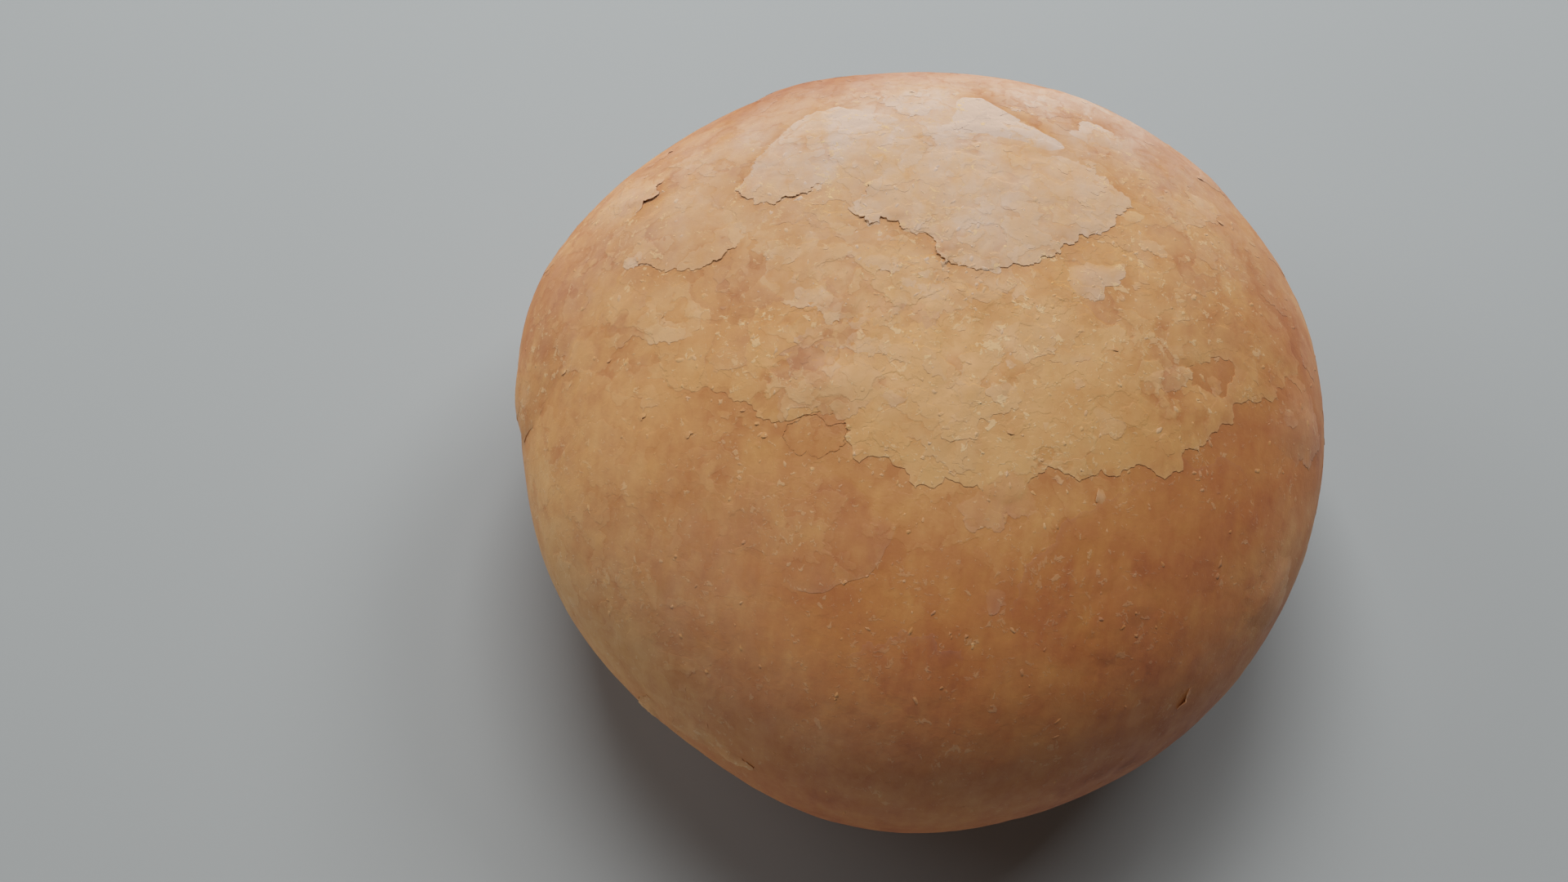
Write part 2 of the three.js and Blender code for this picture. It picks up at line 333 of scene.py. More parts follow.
def within(spots: Array, loops: Sequence[Array]) -> Array:
    """Returns which spots lie inside the first loop and in none of the others.

    Args:
        spots: Places, one row each.
        loops: The outline, then any holes.

    Returns:
        True for each spot that does.
    """
    found = inside(spots, loops[0])
    for hole in loops[1:]:
        found &= ~inside(spots, hole)
    return found


def distance_to(spots: Array, loops: Sequence[Array]) -> Array:
    """Returns how far each spot is from the nearest corner of some loops.

    Args:
        spots: Places, one row each.
        loops: The corners of each loop, one row each.

    Returns:
        One distance for each spot.
    """
    nearest = np.full(len(spots), np.inf)
    for block in in_blocks(np.concatenate(loops), len(spots)):
        gaps = (spots[:, :1] - block[:, 0]) ** 2 + (spots[:, 1:] - block[:, 1]) ** 2
        nearest = np.minimum(nearest, gaps.min(axis=1))
    return np.sqrt(nearest)


def crosses_itself(loop: Array) -> bool:
    """Returns whether any two sides of a closed loop cross.

    Args:
        loop: The loop's corners in order, one row each.

    Returns:
        True where two cross.
    """
    here, after = loop, np.roll(loop, -1, axis=0)
    side = after - here
    gap = here[None, :, :] - here[:, None, :]
    across = side[:, None, 0] * side[None, :, 1] - side[:, None, 1] * side[None, :, 0]
    with np.errstate(divide="ignore", invalid="ignore"):
        first = (gap[..., 0] * side[None, :, 1] - gap[..., 1] * side[None, :, 0]) / across
        second = (gap[..., 0] * side[:, None, 1] - gap[..., 1] * side[:, None, 0]) / across
    met = (first > 0) & (first < 1) & (second > 0) & (second < 1)
    return bool(met.any())


class Tear(Enum):
    """How an edge has torn: how deep, as a share of a stretch, and the shortest stretch in millimetres."""

    BROAD = (0.22, 0.32)
    PLATE = (0.31, 0.28)
    SCRAP = (0.30, 0.28)
    SOFT = (0.07, 0.45)

    @property
    def depth(self) -> float:
        """Returns how deep the tears are."""
        return self.value[0]

    @property
    def finest(self) -> float:
        """Returns the length of the shortest stretch."""
        return self.value[1]


# The share of its depth that a tear keeps at each try, where along it a stretch breaks, and the longest
# stretch left whole, against the finest.
EASINGS = (1.0, 0.8, 0.6, 0.4, 0.2, 0.0)
BREAK_PLACES = (0.32, 0.68)
LONGEST_STRETCH = 1.5


def torn_loop(corners: Array, tear: Tear, draw: Draw) -> Array:
    """Breaks the sides of a polygon into a torn edge, less deep where that edge would cross itself.

    Args:
        corners: The polygon's corners in order, one row each.
        tear: How it has torn.
        draw: The source of its random teeth.

    Returns:
        The corners of the torn edge.
    """
    for depth in tear.depth * np.array(EASINGS):
        loop = corners
        while True:
            side = np.roll(loop, -1, axis=0) - loop
            length = np.hypot(side[:, 0], side[:, 1])
            long = length > LONGEST_STRETCH * tear.finest
            if not long.any():
                break
            place = draw.uniform(*BREAK_PLACES, (len(loop), 1))
            offset = draw.uniform(-depth, depth, (len(loop), 1))
            middles = loop + side * place + np.column_stack([side[:, 1], -side[:, 0]]) * offset
            paired = np.stack([loop, middles], axis=1).reshape(-1, 2)
            loop = paired[np.stack([np.ones(len(long), bool), long], axis=1).reshape(-1)]
        if not crosses_itself(loop):
            return loop
    return loop


@dataclass(frozen=True)
class Gape:
    """A stretch of a rim that stands off what is below: bearing and half width in degrees, and height."""

    bearing: float
    width: float
    height: float


@dataclass(frozen=True)
class PlateSpec:
    """One plate of crust: its place in degrees, its reach at even bearings, and how it lies.

    thickness is its own in the middle, and edge at its rim. bake and paleness are how much browner and
    paler it is than the oven has left that part of the roll. The rim stands free at the bearing open, as
    far as opening on both sides of it. Elsewhere the plate sinks in by the share merge, and its tone too.
    """

    azimuth: float
    fall: float
    reach: tuple[float, ...]
    thickness: float = 0.3
    edge: float = 0.04
    paleness: float = 0.0
    bake: float = 0.0
    open: float = -90.0
    opening: float = 75.0
    merge: float = 1.0
    tear: Tear = Tear.PLATE
    gapes: tuple[Gape, ...] = ()


@dataclass
class Plate:
    """A plate of crust with its torn outline drawn, and the holes in it."""

    spec: PlateSpec
    middle: Array
    outline: Array
    holes: tuple[Array, ...] = ()

    DOME_REACH = 2.6
    CURL_REACH = 1.3
    SUNK = 0.05
    CLOSING = (0.6, 1.4)

    @classmethod
    def torn(cls, spec: PlateSpec, draw: Draw) -> "Plate":
        """Draws a plate.

        Args:
            spec: Its place, size and lie.
            draw: The source of its random teeth.

        Returns:
            The plate.
        """
        bearings = np.arange(len(spec.reach)) * FULL_TURN / len(spec.reach)
        reach = np.array(spec.reach)
        corners = np.column_stack([np.cos(bearings) * reach, np.sin(bearings) * reach])
        return cls(spec, direction(spec.azimuth, spec.fall), torn_loop(corners, spec.tear, draw))

    @property
    def loops(self) -> list[Array]:
        """Returns the outline and then the holes."""
        return [self.outline, *self.holes]

    @property
    def widest(self) -> float:
        """Returns the longest reach of the outline."""
        return float(np.hypot(self.outline[:, 0], self.outline[:, 1]).max())

    def covers(self, spots: Array) -> Array:
        """Returns which spots, round the plate's middle, lie on it."""
        return within(spots, self.loops)

    def closed(self, bearings: Array) -> Array:
        """Returns how far the rim is closed at bearings in radians, from 0 to 1."""
        low, high = (share * math.radians(self.spec.opening) for share in self.CLOSING)
        return smooth_step(np.abs(turned(bearings, self.spec.open)), low, high)

    def free(self, spots: Array, inset: Array) -> Array:
        """Returns how far the plate stands out from what it lies on, 0 where it has sunk in, else up to 1.

        Args:
            spots: Places round the plate's middle, one row each.
            inset: Their distances from the rim.

        Returns:
            One number for each spot.
        """
        distance = np.hypot(spots[:, 0], spots[:, 1])
        share = distance / np.maximum(distance + inset, TINY)
        return 1 - self.spec.merge * self.closed(bearings_of(spots)) * share**2

    def rise(self, spots: Array, inset: Array) -> Array:
        """Returns the height of the plate's top above what it lies on.

        Args:
            spots: Places round the plate's middle, one row each.
            inset: Their distances from the rim.

        Returns:
            One height for each spot.
        """
        spec, free = self.spec, self.free(spots, inset)
        dome = 1 - np.exp(-inset / self.DOME_REACH)
        height = spec.edge + (spec.thickness - spec.edge) * dome
        height = height * free - self.SUNK * (1 - free)
        for gape in spec.gapes:
            off = turned(bearings_of(spots), gape.bearing) / math.radians(gape.width)
            height = height + gape.height * np.exp(-off * off - inset / self.CURL_REACH)
        return height


SKIN = PlateSpec(
    148, 5,
    (38, 41, 37, 36, 34, 33, 32, 32, 32, 32, 32, 32, 32, 32, 31, 31, 31, 31, 32, 33, 34, 34, 35, 36, 37, 35,
     33, 30, 27, 24, 23, 22.5, 21, 19.3, 18.8, 22, 21, 23.6, 22.7, 23.8, 25.8, 24.6, 27, 28.6, 31.6, 31.5,
     33.4, 34.2),
    thickness=0.42, edge=0.07, paleness=0.01, bake=-0.09, open=-68, opening=78, merge=0.8, tear=Tear.BROAD,
)
# The thick fold down the left side, which ends in a step, and the flakes low on the front.
LOW_PLATES = (
    PlateSpec(
        -176, 70, (7, 8, 11, 16, 19, 17, 15, 15.5, 14.6, 12.5, 10, 8),
        thickness=0.85, edge=0.1, paleness=0.05, bake=0.1, open=-130, opening=26, tear=Tear.SOFT,
    ),
    PlateSpec(
        -116, 86, (8, 5, 3, 3, 4.5, 6.5, 4, 3, 3, 5),
        thickness=0.5, edge=0.3, paleness=0.04, bake=0.02, open=-160, opening=50,
    ),
    PlateSpec(-107, 84.5, (3.2, 1.6, 1.2, 1.4, 3.0, 1.6, 1.2, 1.6), 0.35, 0.2, 0.04, -0.08, open=-60),
    PlateSpec(-120, 87.5, (2.4, 1.2, 1.0, 1.6, 2.2, 1.4, 1.0, 1.2), 0.35, 0.25, 0.02, -0.05, open=-120),
    PlateSpec(
        -108, 46, (9, 7, 6, 8, 11, 12, 9, 7, 7, 8),
        thickness=0.25, edge=0.03, paleness=0.04, bake=0.14, open=-50, opening=50, tear=Tear.SOFT,
    ),
)
# The worn places low on the right and on the front, a shade darker than what is round them.
WORN_PLATES = (
    PlateSpec(
        -44, 64,
        (22, 24, 24, 22, 20, 20, 18, 15.5, 14.6, 15, 15.8, 16.2, 18.5, 19, 18.5, 16.5, 15.3, 14, 13, 13, 14,
         15, 17, 20),
        thickness=0.05, edge=0.015, bake=0.21, open=130, tear=Tear.BROAD,
    ),
    PlateSpec(
        -82, 62, (5.5, 4.5, 3.8, 3.9, 4.6, 6.0, 9.0, 8.0, 6.5, 6.0, 5.6, 5.5),
        thickness=0.05, edge=0.015, bake=0.2, open=110, opening=80,
    ),
)
HIGH_PLATES = (
    # The ragged end of the skin on the far left.
    PlateSpec(
        116, 44, (6, 5, 4, 3.2, 3, 3.2, 5.2, 6.6, 8.3, 11.6, 12, 11, 9, 9, 9, 7),
        thickness=0.16, edge=0.06, paleness=0.14, bake=-0.09, open=165, opening=50, tear=Tear.BROAD,
    ),
    # The pale sliver on the far side, whose paleness is partly a painted sheen of the light from behind,
    # the one right of it, and the widest plate, nearer the crown.
    PlateSpec(
        82, 41,
        (8.4, 6.0, 5.0, 4.5, 4.4, 4.6, 5.5, 8.0, 8.6, 7.4, 6.8, 6.8, 7.5, 9.2, 3.5, 1.4, 1.3, 1.3, 1.3, 1.3,
         1.5, 1.9, 3.3, 7.5),
        edge=0.08, paleness=0.75, bake=-0.08, open=60, opening=65, tear=Tear.SOFT,
    ),
    PlateSpec(
        61, 52, (4, 3.4, 3, 3.2, 3.4, 3, 3.2, 4.2, 3.6, 2.6, 2.6, 3.4),
        paleness=0.12, bake=-0.04, open=120, opening=70, gapes=(Gape(120, 16, 0.16),),
    ),
    PlateSpec(
        72, 23,
        (13.1, 13.7, 15.7, 14.3, 12.7, 11.9, 10.5, 10.3, 10.6, 10.9, 10.7, 10.7, 11.1, 11.8, 12.0, 12.6,
         13.9, 16.4, 14.6, 10.6, 9.1, 9.9, 11.5, 10.4, 10.3, 9.5, 9.2, 9.8, 9.3, 10.1, 10.2, 11.3),
        thickness=0.45, edge=0.12, paleness=0.38, bake=-0.1, open=-70, opening=105, merge=0.85,
        gapes=(Gape(199, 4, 0.22), Gape(210, 6, 0.13), Gape(179, 3, 0.26), Gape(240, 9, 0.14)),
    ),
    # The run of plates down the left shoulder.
    PlateSpec(
        136, 40,
        (8.4, 7.8, 7.8, 7.9, 8.5, 9.4, 11.1, 9.0, 7.1, 5.9, 5.4, 5.2, 5.4, 6.1, 7.3, 9.0, 9.5, 8.6, 7.1,
         5.8, 5.6, 5.9, 7.1, 7.9),
        thickness=0.34, edge=0.08, paleness=0.02, bake=0.04, open=-130,
        gapes=(Gape(228, 6, 0.14), Gape(268, 16, 0.16)),
    ),
    PlateSpec(
        168, 48,
        (7.3, 6.6, 5.8, 5.5, 5.4, 5.7, 6.4, 6.6, 6.9, 6.6, 6.6, 7.4, 8.4, 8.4, 7.5, 6.3, 6.1, 6.5, 6.6, 6.9,
         7.6, 8.0, 8.1, 8.4),
        thickness=0.34, edge=0.08, paleness=0.06, bake=0.02, open=-80, opening=62,
        gapes=(Gape(318, 14, 0.16), Gape(232, 14, 0.14)),
    ),
    # A flap that has cracked open.
    PlateSpec(
        163, 64, (7.1, 7.2, 8, 7, 6, 6, 6.5, 6, 5.5, 4.8, 4.4, 5.8),
        thickness=0.25, paleness=0.12, open=-10, opening=34, gapes=(Gape(5, 14, 0.22), Gape(-14, 10, 0.3)),
    ),
    PlateSpec(
        -173, 53, (3.2, 3, 3, 3, 3.4, 4.7, 6.3, 6.0, 5.6, 5.1, 5.7, 5.7),
        thickness=0.2, paleness=0.01, bake=0.04, open=-65, opening=50, gapes=(Gape(-25, 14, 0.14),),
    ),
    # The blistered plate left of the crown, and scraps round it.
    PlateSpec(
        180, 17, (10, 8, 6, 6, 7, 9, 9, 8, 5, 5, 7, 8),
        thickness=0.22, paleness=0.1, bake=-0.1, open=-80, opening=60,
    ),
    PlateSpec(17, 28, (3.0, 4.6, 2.6, 2.8, 3.2, 3.6, 2.8, 2.2), paleness=0.45, bake=-0.12, open=-30),
    PlateSpec(162, 12, (2.8, 2.0, 1.3, 1.9, 3.0, 1.7, 1.2, 2.1), 0.14, 0.04, 0.34, -0.2),
    PlateSpec(-131, 17, (3.6, 2.4, 1.3, 2.0, 3.4, 2.2, 1.6, 2.6), 0.12, 0.04, 0.26, -0.2),
    PlateSpec(-105, 15, (4.8, 2.2, 1.2, 2.0, 3.6, 2.2, 1.3, 2.4), 0.12, 0.04, 0.18, -0.16),
    PlateSpec(-167, 24, (4.4, 2.6, 1.4, 2.4, 4.0, 2.2, 1.3, 2.6), 0.14, 0.04, 0.28, -0.18),
    PlateSpec(172, 30, (3.2, 1.8, 1.3, 2.0, 2.8, 2.0, 1.4, 2.2), 0.14, 0.04, 0.22, -0.16),
    PlateSpec(177, 54, (1.8, 1.2, 0.9, 1.3, 1.9, 1.2, 1.0, 1.4), 0.12, 0.04, 0.30, -0.16),
    PlateSpec(-165, 47, (3.6, 2.2, 1.6, 2.0, 3.4, 2.4, 1.4, 2.2), 0.12, 0.04, 0.14, -0.14),
    PlateSpec(28, 42, (2.6, 1.8, 1.2, 1.6, 2.6, 2.0, 1.4, 1.8), 0.12, 0.04, 0.16, -0.14),
    PlateSpec(-10, 42, (2.5, 3.4, 1.6, 2, 3.2, 2.0, 2.4, 1.6), paleness=0.14, bake=-0.1, open=0),
    PlateSpec(
        -75, 18, (8, 6, 5, 6, 8, 6, 5, 5.5, 7, 6),
        thickness=0.18, paleness=0.06, bake=-0.14, open=-70,
    ),
    # A chip that stands on end low on the right, and another on the front.
    PlateSpec(
        -44.6, 77.6, (0.6, 0.9, 1.7, 0.8, 0.5, 0.8, 1.6, 0.8),
        paleness=0.1, bake=-0.1, open=180, opening=70, gapes=(Gape(180, 60, 0.45),),
    ),
    PlateSpec(
        -43.9, 45.0, (0.7, 0.8, 1.1, 0.7, 0.6, 0.8, 1.1, 0.7),
        paleness=0.2, open=180, opening=60, gapes=(Gape(180, 50, 0.2),),
    ),
)


@dataclass(frozen=True)
class BarePlace:
    """A hole in the skin, down to the darker layer below: its place in degrees and its reach."""

    azimuth: float
    fall: float
    reach: tuple[float, ...]


BARE_PLACES = (
    BarePlace(-170, 34, (4.4, 4.6, 3.6, 4.2, 3, 3.2, 3.2, 4.2)),
    BarePlace(171, 39.5, (1.4, 1.5, 1.3, 1.2, 1.2, 1.2, 1.6, 1.5)),
    BarePlace(-143, 22, (3.2, 3.4, 1.8, 1.6, 3.4, 3.2, 2, 2)),
    BarePlace(-119, 34, (3.4, 3, 1.6, 1.8, 3.4, 3.6, 3, 3.2)),
    BarePlace(-4, 49, (2.2, 3.9, 2.6, 1.7, 3.2, 3.0, 1.8, 2.6)),
)


@dataclass(frozen=True)
class Nick:
    """A short slit in the crust: its place and the bearing it opens to in degrees, and its length."""

    azimuth: float
    fall: float
    bearing: float
    length: float

    SHAPE = (0.6, 0.5, 0.45, 0.5, 0.6, 0.45, 0.35, 0.45)
    THICKNESS = 0.05
    EDGE = 0.02
    BAKE = 0.08
    OPENING = 60.0
    GAPE_WIDTH = 40.0
    GAPE_HEIGHT = 0.13

    def spec(self) -> PlateSpec:
        """Returns the little flap that stands up along it.

        Returns:
            Its place, size and lie.
        """
        return PlateSpec(
            self.azimuth, self.fall, tuple(self.length * share for share in self.SHAPE),
            thickness=self.THICKNESS, edge=self.EDGE, bake=self.BAKE,
            open=self.bearing, opening=self.OPENING,
            gapes=(Gape(self.bearing, self.GAPE_WIDTH, self.GAPE_HEIGHT),),
        )


NICKS = (
    Nick(-163.4, 57.0, -60, 1.0),
    Nick(-149.5, 54.0, -20, 1.3),
    Nick(-137.8, 40.3, -80, 0.8),
    Nick(-132.5, 39.8, -100, 0.7),
    Nick(-129.0, 40.3, -80, 0.9),
    Nick(-56.8, 29.9, -100, 1.2),
    Nick(-8.7, 32.4, -70, 1.2),
    Nick(45.5, 64.2, -100, 1.8),
    Nick(34.1, 58.8, -120, 1.5),
    Nick(147.7, 65.7, -60, 1.0),
    Nick(102.4, 53.3, -90, 1.1),
    Nick(-166.0, 66.0, -40, 1.6),
    Nick(-141.0, 49.0, -30, 1.4),
)


def torn_skin(dough: Dough, draw: Draw) -> Plate:
    """Draws the skin over the top, with its bare places torn out of it.

    Args:
        dough: The dough that it lies on.
        draw: The source of its random teeth.

    Returns:
        The skin.
    """
    skin = Plate.torn(SKIN, draw)
    for place in BARE_PLACES:
        hole = Plate.torn(PlateSpec(place.azimuth, place.fall, place.reach), draw)
        ways = dough.ways_round(hole.middle, hole.outline)
        skin.holes += (dough.spots_round(skin.middle, ways),)
    return skin


@dataclass(frozen=True)
class Scatter:
    """Plates round the far side and low down: their number and the ranges of their places and sizes."""

    count: int = 9
    azimuth: Span = (-50.0, 150.0)
    fall: Span = (60.0, 84.0)
    spread: Span = (4.5, 8.5)
    thickness: Span = (0.24, 0.4)
    unevenness: Span = (0.75, 1.25)
    paleness: Span = (0.0, 0.1)
    bake: float = 0.09
    turn: Span = (-70.0, 70.0)
    opening: float = 60.0
    corners: int = 9

    @staticmethod
    def between(limits: Span, step: int) -> float:
        """Returns a number from a range, spread evenly over the steps by the golden section."""
        return limits[0] + (limits[1] - limits[0]) * fraction(step * GOLDEN)

    def plates(self) -> tuple[PlateSpec, ...]:
        """Lays out the plates.

        Returns:
            The place, size and lie of each.
        """
        specs = []
        step = (self.azimuth[1] - self.azimuth[0]) / self.count
        for index in range(self.count):
            azimuth = self.azimuth[0] + step * (index + fraction(5 * index * GOLDEN))
            size = self.between(self.spread, 2 * index)
            reach = (
                size * self.between(self.unevenness, 7 * (index * self.corners + corner))
                for corner in range(self.corners)
            )
            specs.append(
                PlateSpec(
                    azimuth, self.between(self.fall, index), tuple(reach),
                    thickness=self.between(self.thickness, 3 * index),
                    paleness=self.between(self.paleness, 4 * index), bake=self.bake,
                    open=azimuth + self.between(self.turn, 6 * index), opening=self.opening,
                )
            )
        return tuple(specs)


@dataclass(frozen=True)
class Covering:
    """The top of the crust at some places: its height above the dough, and what it adds to the tone."""

    height: Array
    bake: Array
    paleness: Array


@dataclass
class Layers:
    """Plates lying on one another, the lowest first."""

    dough: Dough
    plates: tuple[Plate, ...]

    BARE_BAKE = 0.1
    LEE_REACH = 1.8
    FULL_LEE_THICKNESS = 0.25
    NEAR_SLACK = 1.05

    def near(self, ways: Array, plate: Plate, margin: float = 0.0) -> Array:
        """Returns the numbers of the directions that may lie on a plate, or as near it as a margin."""
        angle = (plate.widest + margin) / self.dough.distance(plate.middle[None, :])[0]
        return np.flatnonzero(ways @ plate.middle > math.cos(min(angle * self.NEAR_SLACK, math.pi)))

    def top(self, ways: Array, below: Plate | None = None) -> Covering:
        """Returns the top of the crust.

        Args:
            ways: Unit directions, one row each.
            below: Stops under this plate.

        Returns:
            Its height and tone in each direction.
        """
        height, paleness = np.zeros(len(ways)), np.zeros(len(ways))
        bake = np.full(len(ways), self.BARE_BAKE)
        for plate in self.plates:
            if plate is below:
                break
            some = self.near(ways, plate)
            spots = self.dough.spots_round(plate.middle, ways[some])
            covered = plate.covers(spots)
            some, spots = some[covered], spots[covered]
            inset = distance_to(spots, plate.loops)
            free = plate.free(spots, inset)
            height[some] += plate.rise(spots, inset)
            bake[some] += free * (plate.spec.bake - bake[some])
            paleness[some] += free * (plate.spec.paleness - paleness[some])
        return Covering(height, bake, paleness)

    def lee(self, ways: Array, above: Plate | None = None) -> Array:
        """Returns how close the crust lies under the open edges of the plates on it, 1 right beside one.

        Args:
            ways: Unit directions, one row each.
            above: Starts over this plate.

        Returns:
            One number from 0 to 1 for each direction.
        """
        # Where this is high the finish browns and bares the crust and thins its pale film, partly as
        # painted shade under the open edges.
        closeness = np.zeros(len(ways))
        first = 0 if above is None else 1 + next(k for k, plate in enumerate(self.plates) if plate is above)
        for plate in self.plates[first:]:
            some = self.near(ways, plate, 3 * self.LEE_REACH)
            spots = self.dough.spots_round(plate.middle, ways[some])
            beside = np.exp(-distance_to(spots, plate.loops) / self.LEE_REACH)
            strength = min(1.0, plate.spec.thickness / self.FULL_LEE_THICKNESS)
            beside *= strength * (1 - plate.closed(bearings_of(spots))) * ~plate.covers(spots)
            closeness[some] = np.maximum(closeness[some], beside)
        return closeness


# ---------------------------------------------------------------------------------------------------
# Tone
# ---------------------------------------------------------------------------------------------------


@dataclass(frozen=True)
class Patch:
    """A soft patch of another tone: its place and half width in degrees, and what it adds."""

    azimuth: float
    fall: float
    width: float
    bake: float = 0.0
    paleness: float = 0.0


@dataclass(frozen=True)
class Toning:
    """How brown and how pale and dry each place is: mostly the oven's browning, with painted light and
    shade in the rise to the foot and in some of the patches.
    """

    # Browning by fall from the crown. Its rise to the darkest just above the floor, from fall 80 to 94, is
    # partly the browner foot and partly painted shade on the low rim.
    falls: tuple[float, ...] = (0, 20, 35, 50, 65, 80, 87, 94, 105, 130, 180)
    bakes: tuple[float, ...] = (0.15, 0.16, 0.20, 0.38, 0.58, 0.64, 0.72, 0.82, 0.82, 0.78, 0.74)
    dry_falls: tuple[float, ...] = (0, 40, 60, 80, 180)
    palenesses: tuple[float, ...] = (0.0, 0.0, 0.03, 0.035, 0.0)
    drift_size: float = 24.0
    drift_depth: float = 0.08
    drift_shift: float = 4.7
    patches: tuple[Patch, ...] = (
        # From here to the far left shoulder: paler on the far side, partly pale dry crust and partly a
        # painted sheen of the light from behind, and browner and less pale again at the far rim.
        Patch(92, 60, 27, bake=-0.12, paleness=0.56),
        Patch(98, 42, 17, bake=-0.02, paleness=0.25),
        Patch(112, 72, 16, bake=0.05, paleness=-0.14),
        Patch(88, 82, 9, bake=0.12, paleness=-0.15),
        Patch(118, 68, 14, bake=0.12, paleness=-0.12),
        Patch(95, 62, 9, bake=0.04, paleness=-0.12),
        Patch(40, 56, 22, bake=-0.10, paleness=0.24),
        Patch(66, 58, 14, bake=-0.02, paleness=0.42),
        Patch(134, 43, 22, bake=-0.11, paleness=0.56),
        Patch(165, 58, 20, bake=-0.03, paleness=0.17),
        Patch(-168, 42, 14, bake=-0.06, paleness=0.03),
        Patch(100, 13, 9, bake=0.08),
        Patch(-75, 34, 13, bake=-0.17, paleness=0.04),
        Patch(-150, 18, 11, bake=-0.02),
        Patch(-141, 29, 6, bake=0.05),
        Patch(137, 15, 6, bake=0.09),
        Patch(-178, 35, 6, bake=0.08),
        Patch(1, 35, 7, bake=0.09),
        Patch(-124, 42, 8, bake=-0.05),
        Patch(-15, 52, 9, bake=-0.03),
        Patch(8, 48, 14, bake=-0.05, paleness=0.03),
        Patch(-3, 68, 8, bake=0.03, paleness=-0.03),
        Patch(-24, 41, 8, bake=0.12),
        # Lighter low round the far limb on the left and the right: painted fill light on the rim that turns
        # from the lamps.
        Patch(155, 82, 24, bake=-0.2),
        Patch(28, 80, 22, bake=-0.18, paleness=0.03),
        # Lighter and paler on the low rim of the widest plate: painted light where that rim slopes away
        # from the light.
        Patch(60, 14, 8, bake=-0.16, paleness=0.14),
        Patch(15, 9, 7, bake=0.07),
        Patch(-4, 49, 6, bake=-0.08),
        Patch(-85, 61, 12, bake=0.04),
        Patch(-57, 56, 13, bake=0.08),
        Patch(-89, 47, 9, bake=0.06),
        # From here to the foot on the lower left: lighter low on the front, the right and the left, a
        # painted fill light on the sides that turn from the lamps, and the left limb less pale.
        Patch(-80, 80, 18, bake=-0.14),
        Patch(-30, 74, 14, bake=-0.12),
        Patch(-20, 77, 9, bake=-0.12, paleness=0.03),
        Patch(180, 65, 26, bake=-0.17, paleness=0.06),
        Patch(-168, 66, 8, bake=-0.06, paleness=0.03),
        Patch(-178, 80, 14, paleness=-0.11),
        Patch(-145, 76, 26, bake=-0.38, paleness=0.05),
        Patch(-112, 84, 14, bake=-0.12),
        Patch(-130, 93, 22, bake=-0.26),
        Patch(-152, 21, 5, bake=0.08),
        Patch(12, 54, 8, bake=0.04, paleness=-0.05),
        Patch(-122, 60, 15, bake=-0.03, paleness=0.07),
    )

    def at(self, dough: Dough, ways: Array) -> tuple[Array, Array]:
        """Returns the tone along directions.

        Args:
            dough: The dough, for its size.
            ways: Unit directions, one row each.

        Returns:
            How browned and how pale the crust is there.
        """
        fall = np.degrees(np.arccos(np.clip(ways[:, 2], -1.0, 1.0)))
        bake = np.interp(fall, self.falls, self.bakes)
        paleness = np.interp(fall, self.dry_falls, self.palenesses)
        for patch in self.patches:
            off = np.arccos(np.clip(ways @ direction(patch.azimuth, patch.fall), -1.0, 1.0))
            weight = np.exp(-((np.degrees(off) / patch.width) ** 2))
            bake += patch.bake * weight
            paleness += patch.paleness * weight
        even = ways * dough.width / 2
        bake += self.drift_depth * noise_at(even, self.drift_size, octaves=3, shift=self.drift_shift)
        return bake, paleness


# ---------------------------------------------------------------------------------------------------
# Meshes
# ---------------------------------------------------------------------------------------------------


def placed(name: str, data: bpy.types.ID) -> Piece:
    """Makes an object of a mesh, a light or a camera, and puts it in the scene.

    Args:
        name: The object's name.
        data: What it shows.

    Returns:
        The object.
    """
    thing = bpy.data.objects.new(name, data)
    bpy.context.scene.collection.objects.link(thing)
    return thing


@dataclass
class Gathered:
    """Points and triangles gathered for one piece, each point with its tone."""

    NAMES = ("bake", "paleness", "rim", "lee")

    points: list[Array] = field(default_factory=list)
    triangles: list[Array] = field(default_factory=list)
    tones: list[Array] = field(default_factory=list)
    count: int = 0

    def add(self, points: Array, triangles: Array, *tones: Array | float) -> None:
        """Adds a closed body.

        Args:
            points: Its points in millimetres, one row each.
            triangles: Its triangles, as rows of three point numbers.
            tones: How browned, how pale, how near its own torn edge and how near the foot of another
                plate's edge each point is, each from 0 to 1.
        """
        self.points.append(points)
        self.triangles.append(triangles + self.count)
        self.tones.append(np.column_stack([np.broadcast_to(tone, len(points)) for tone in tones]))
        self.count += len(points)

    def build(self, name: str, sharp_angle: float = 35.0) -> Piece:
        """Makes the piece.

        Args:
            name: The object's name.
            sharp_angle: Edges that bend more than this, in degrees, are drawn sharp.

        Returns:
            The new object, in metres.
        """
        points, triangles = np.concatenate(self.points) * MM, np.concatenate(self.triangles)
        mesh = bpy.data.meshes.new(name)
        mesh.from_pydata(points.tolist(), [], triangles.tolist())
        for attribute, values in zip(self.NAMES, np.concatenate(self.tones).T.astype(np.float32)):
            layer = mesh.attributes.new(attribute, "FLOAT", "POINT")
            layer.data.foreach_set("value", np.ascontiguousarray(values))
        mesh.update()
        mesh.shade_smooth()
        mesh.set_sharp_from_angle(angle=math.radians(sharp_angle))
        return placed(name, mesh)


# The least gap between an inner spot and an edge, against the spacing, and the distance that welds two.
EDGE_GAP = 0.6
WELD = 1e-6


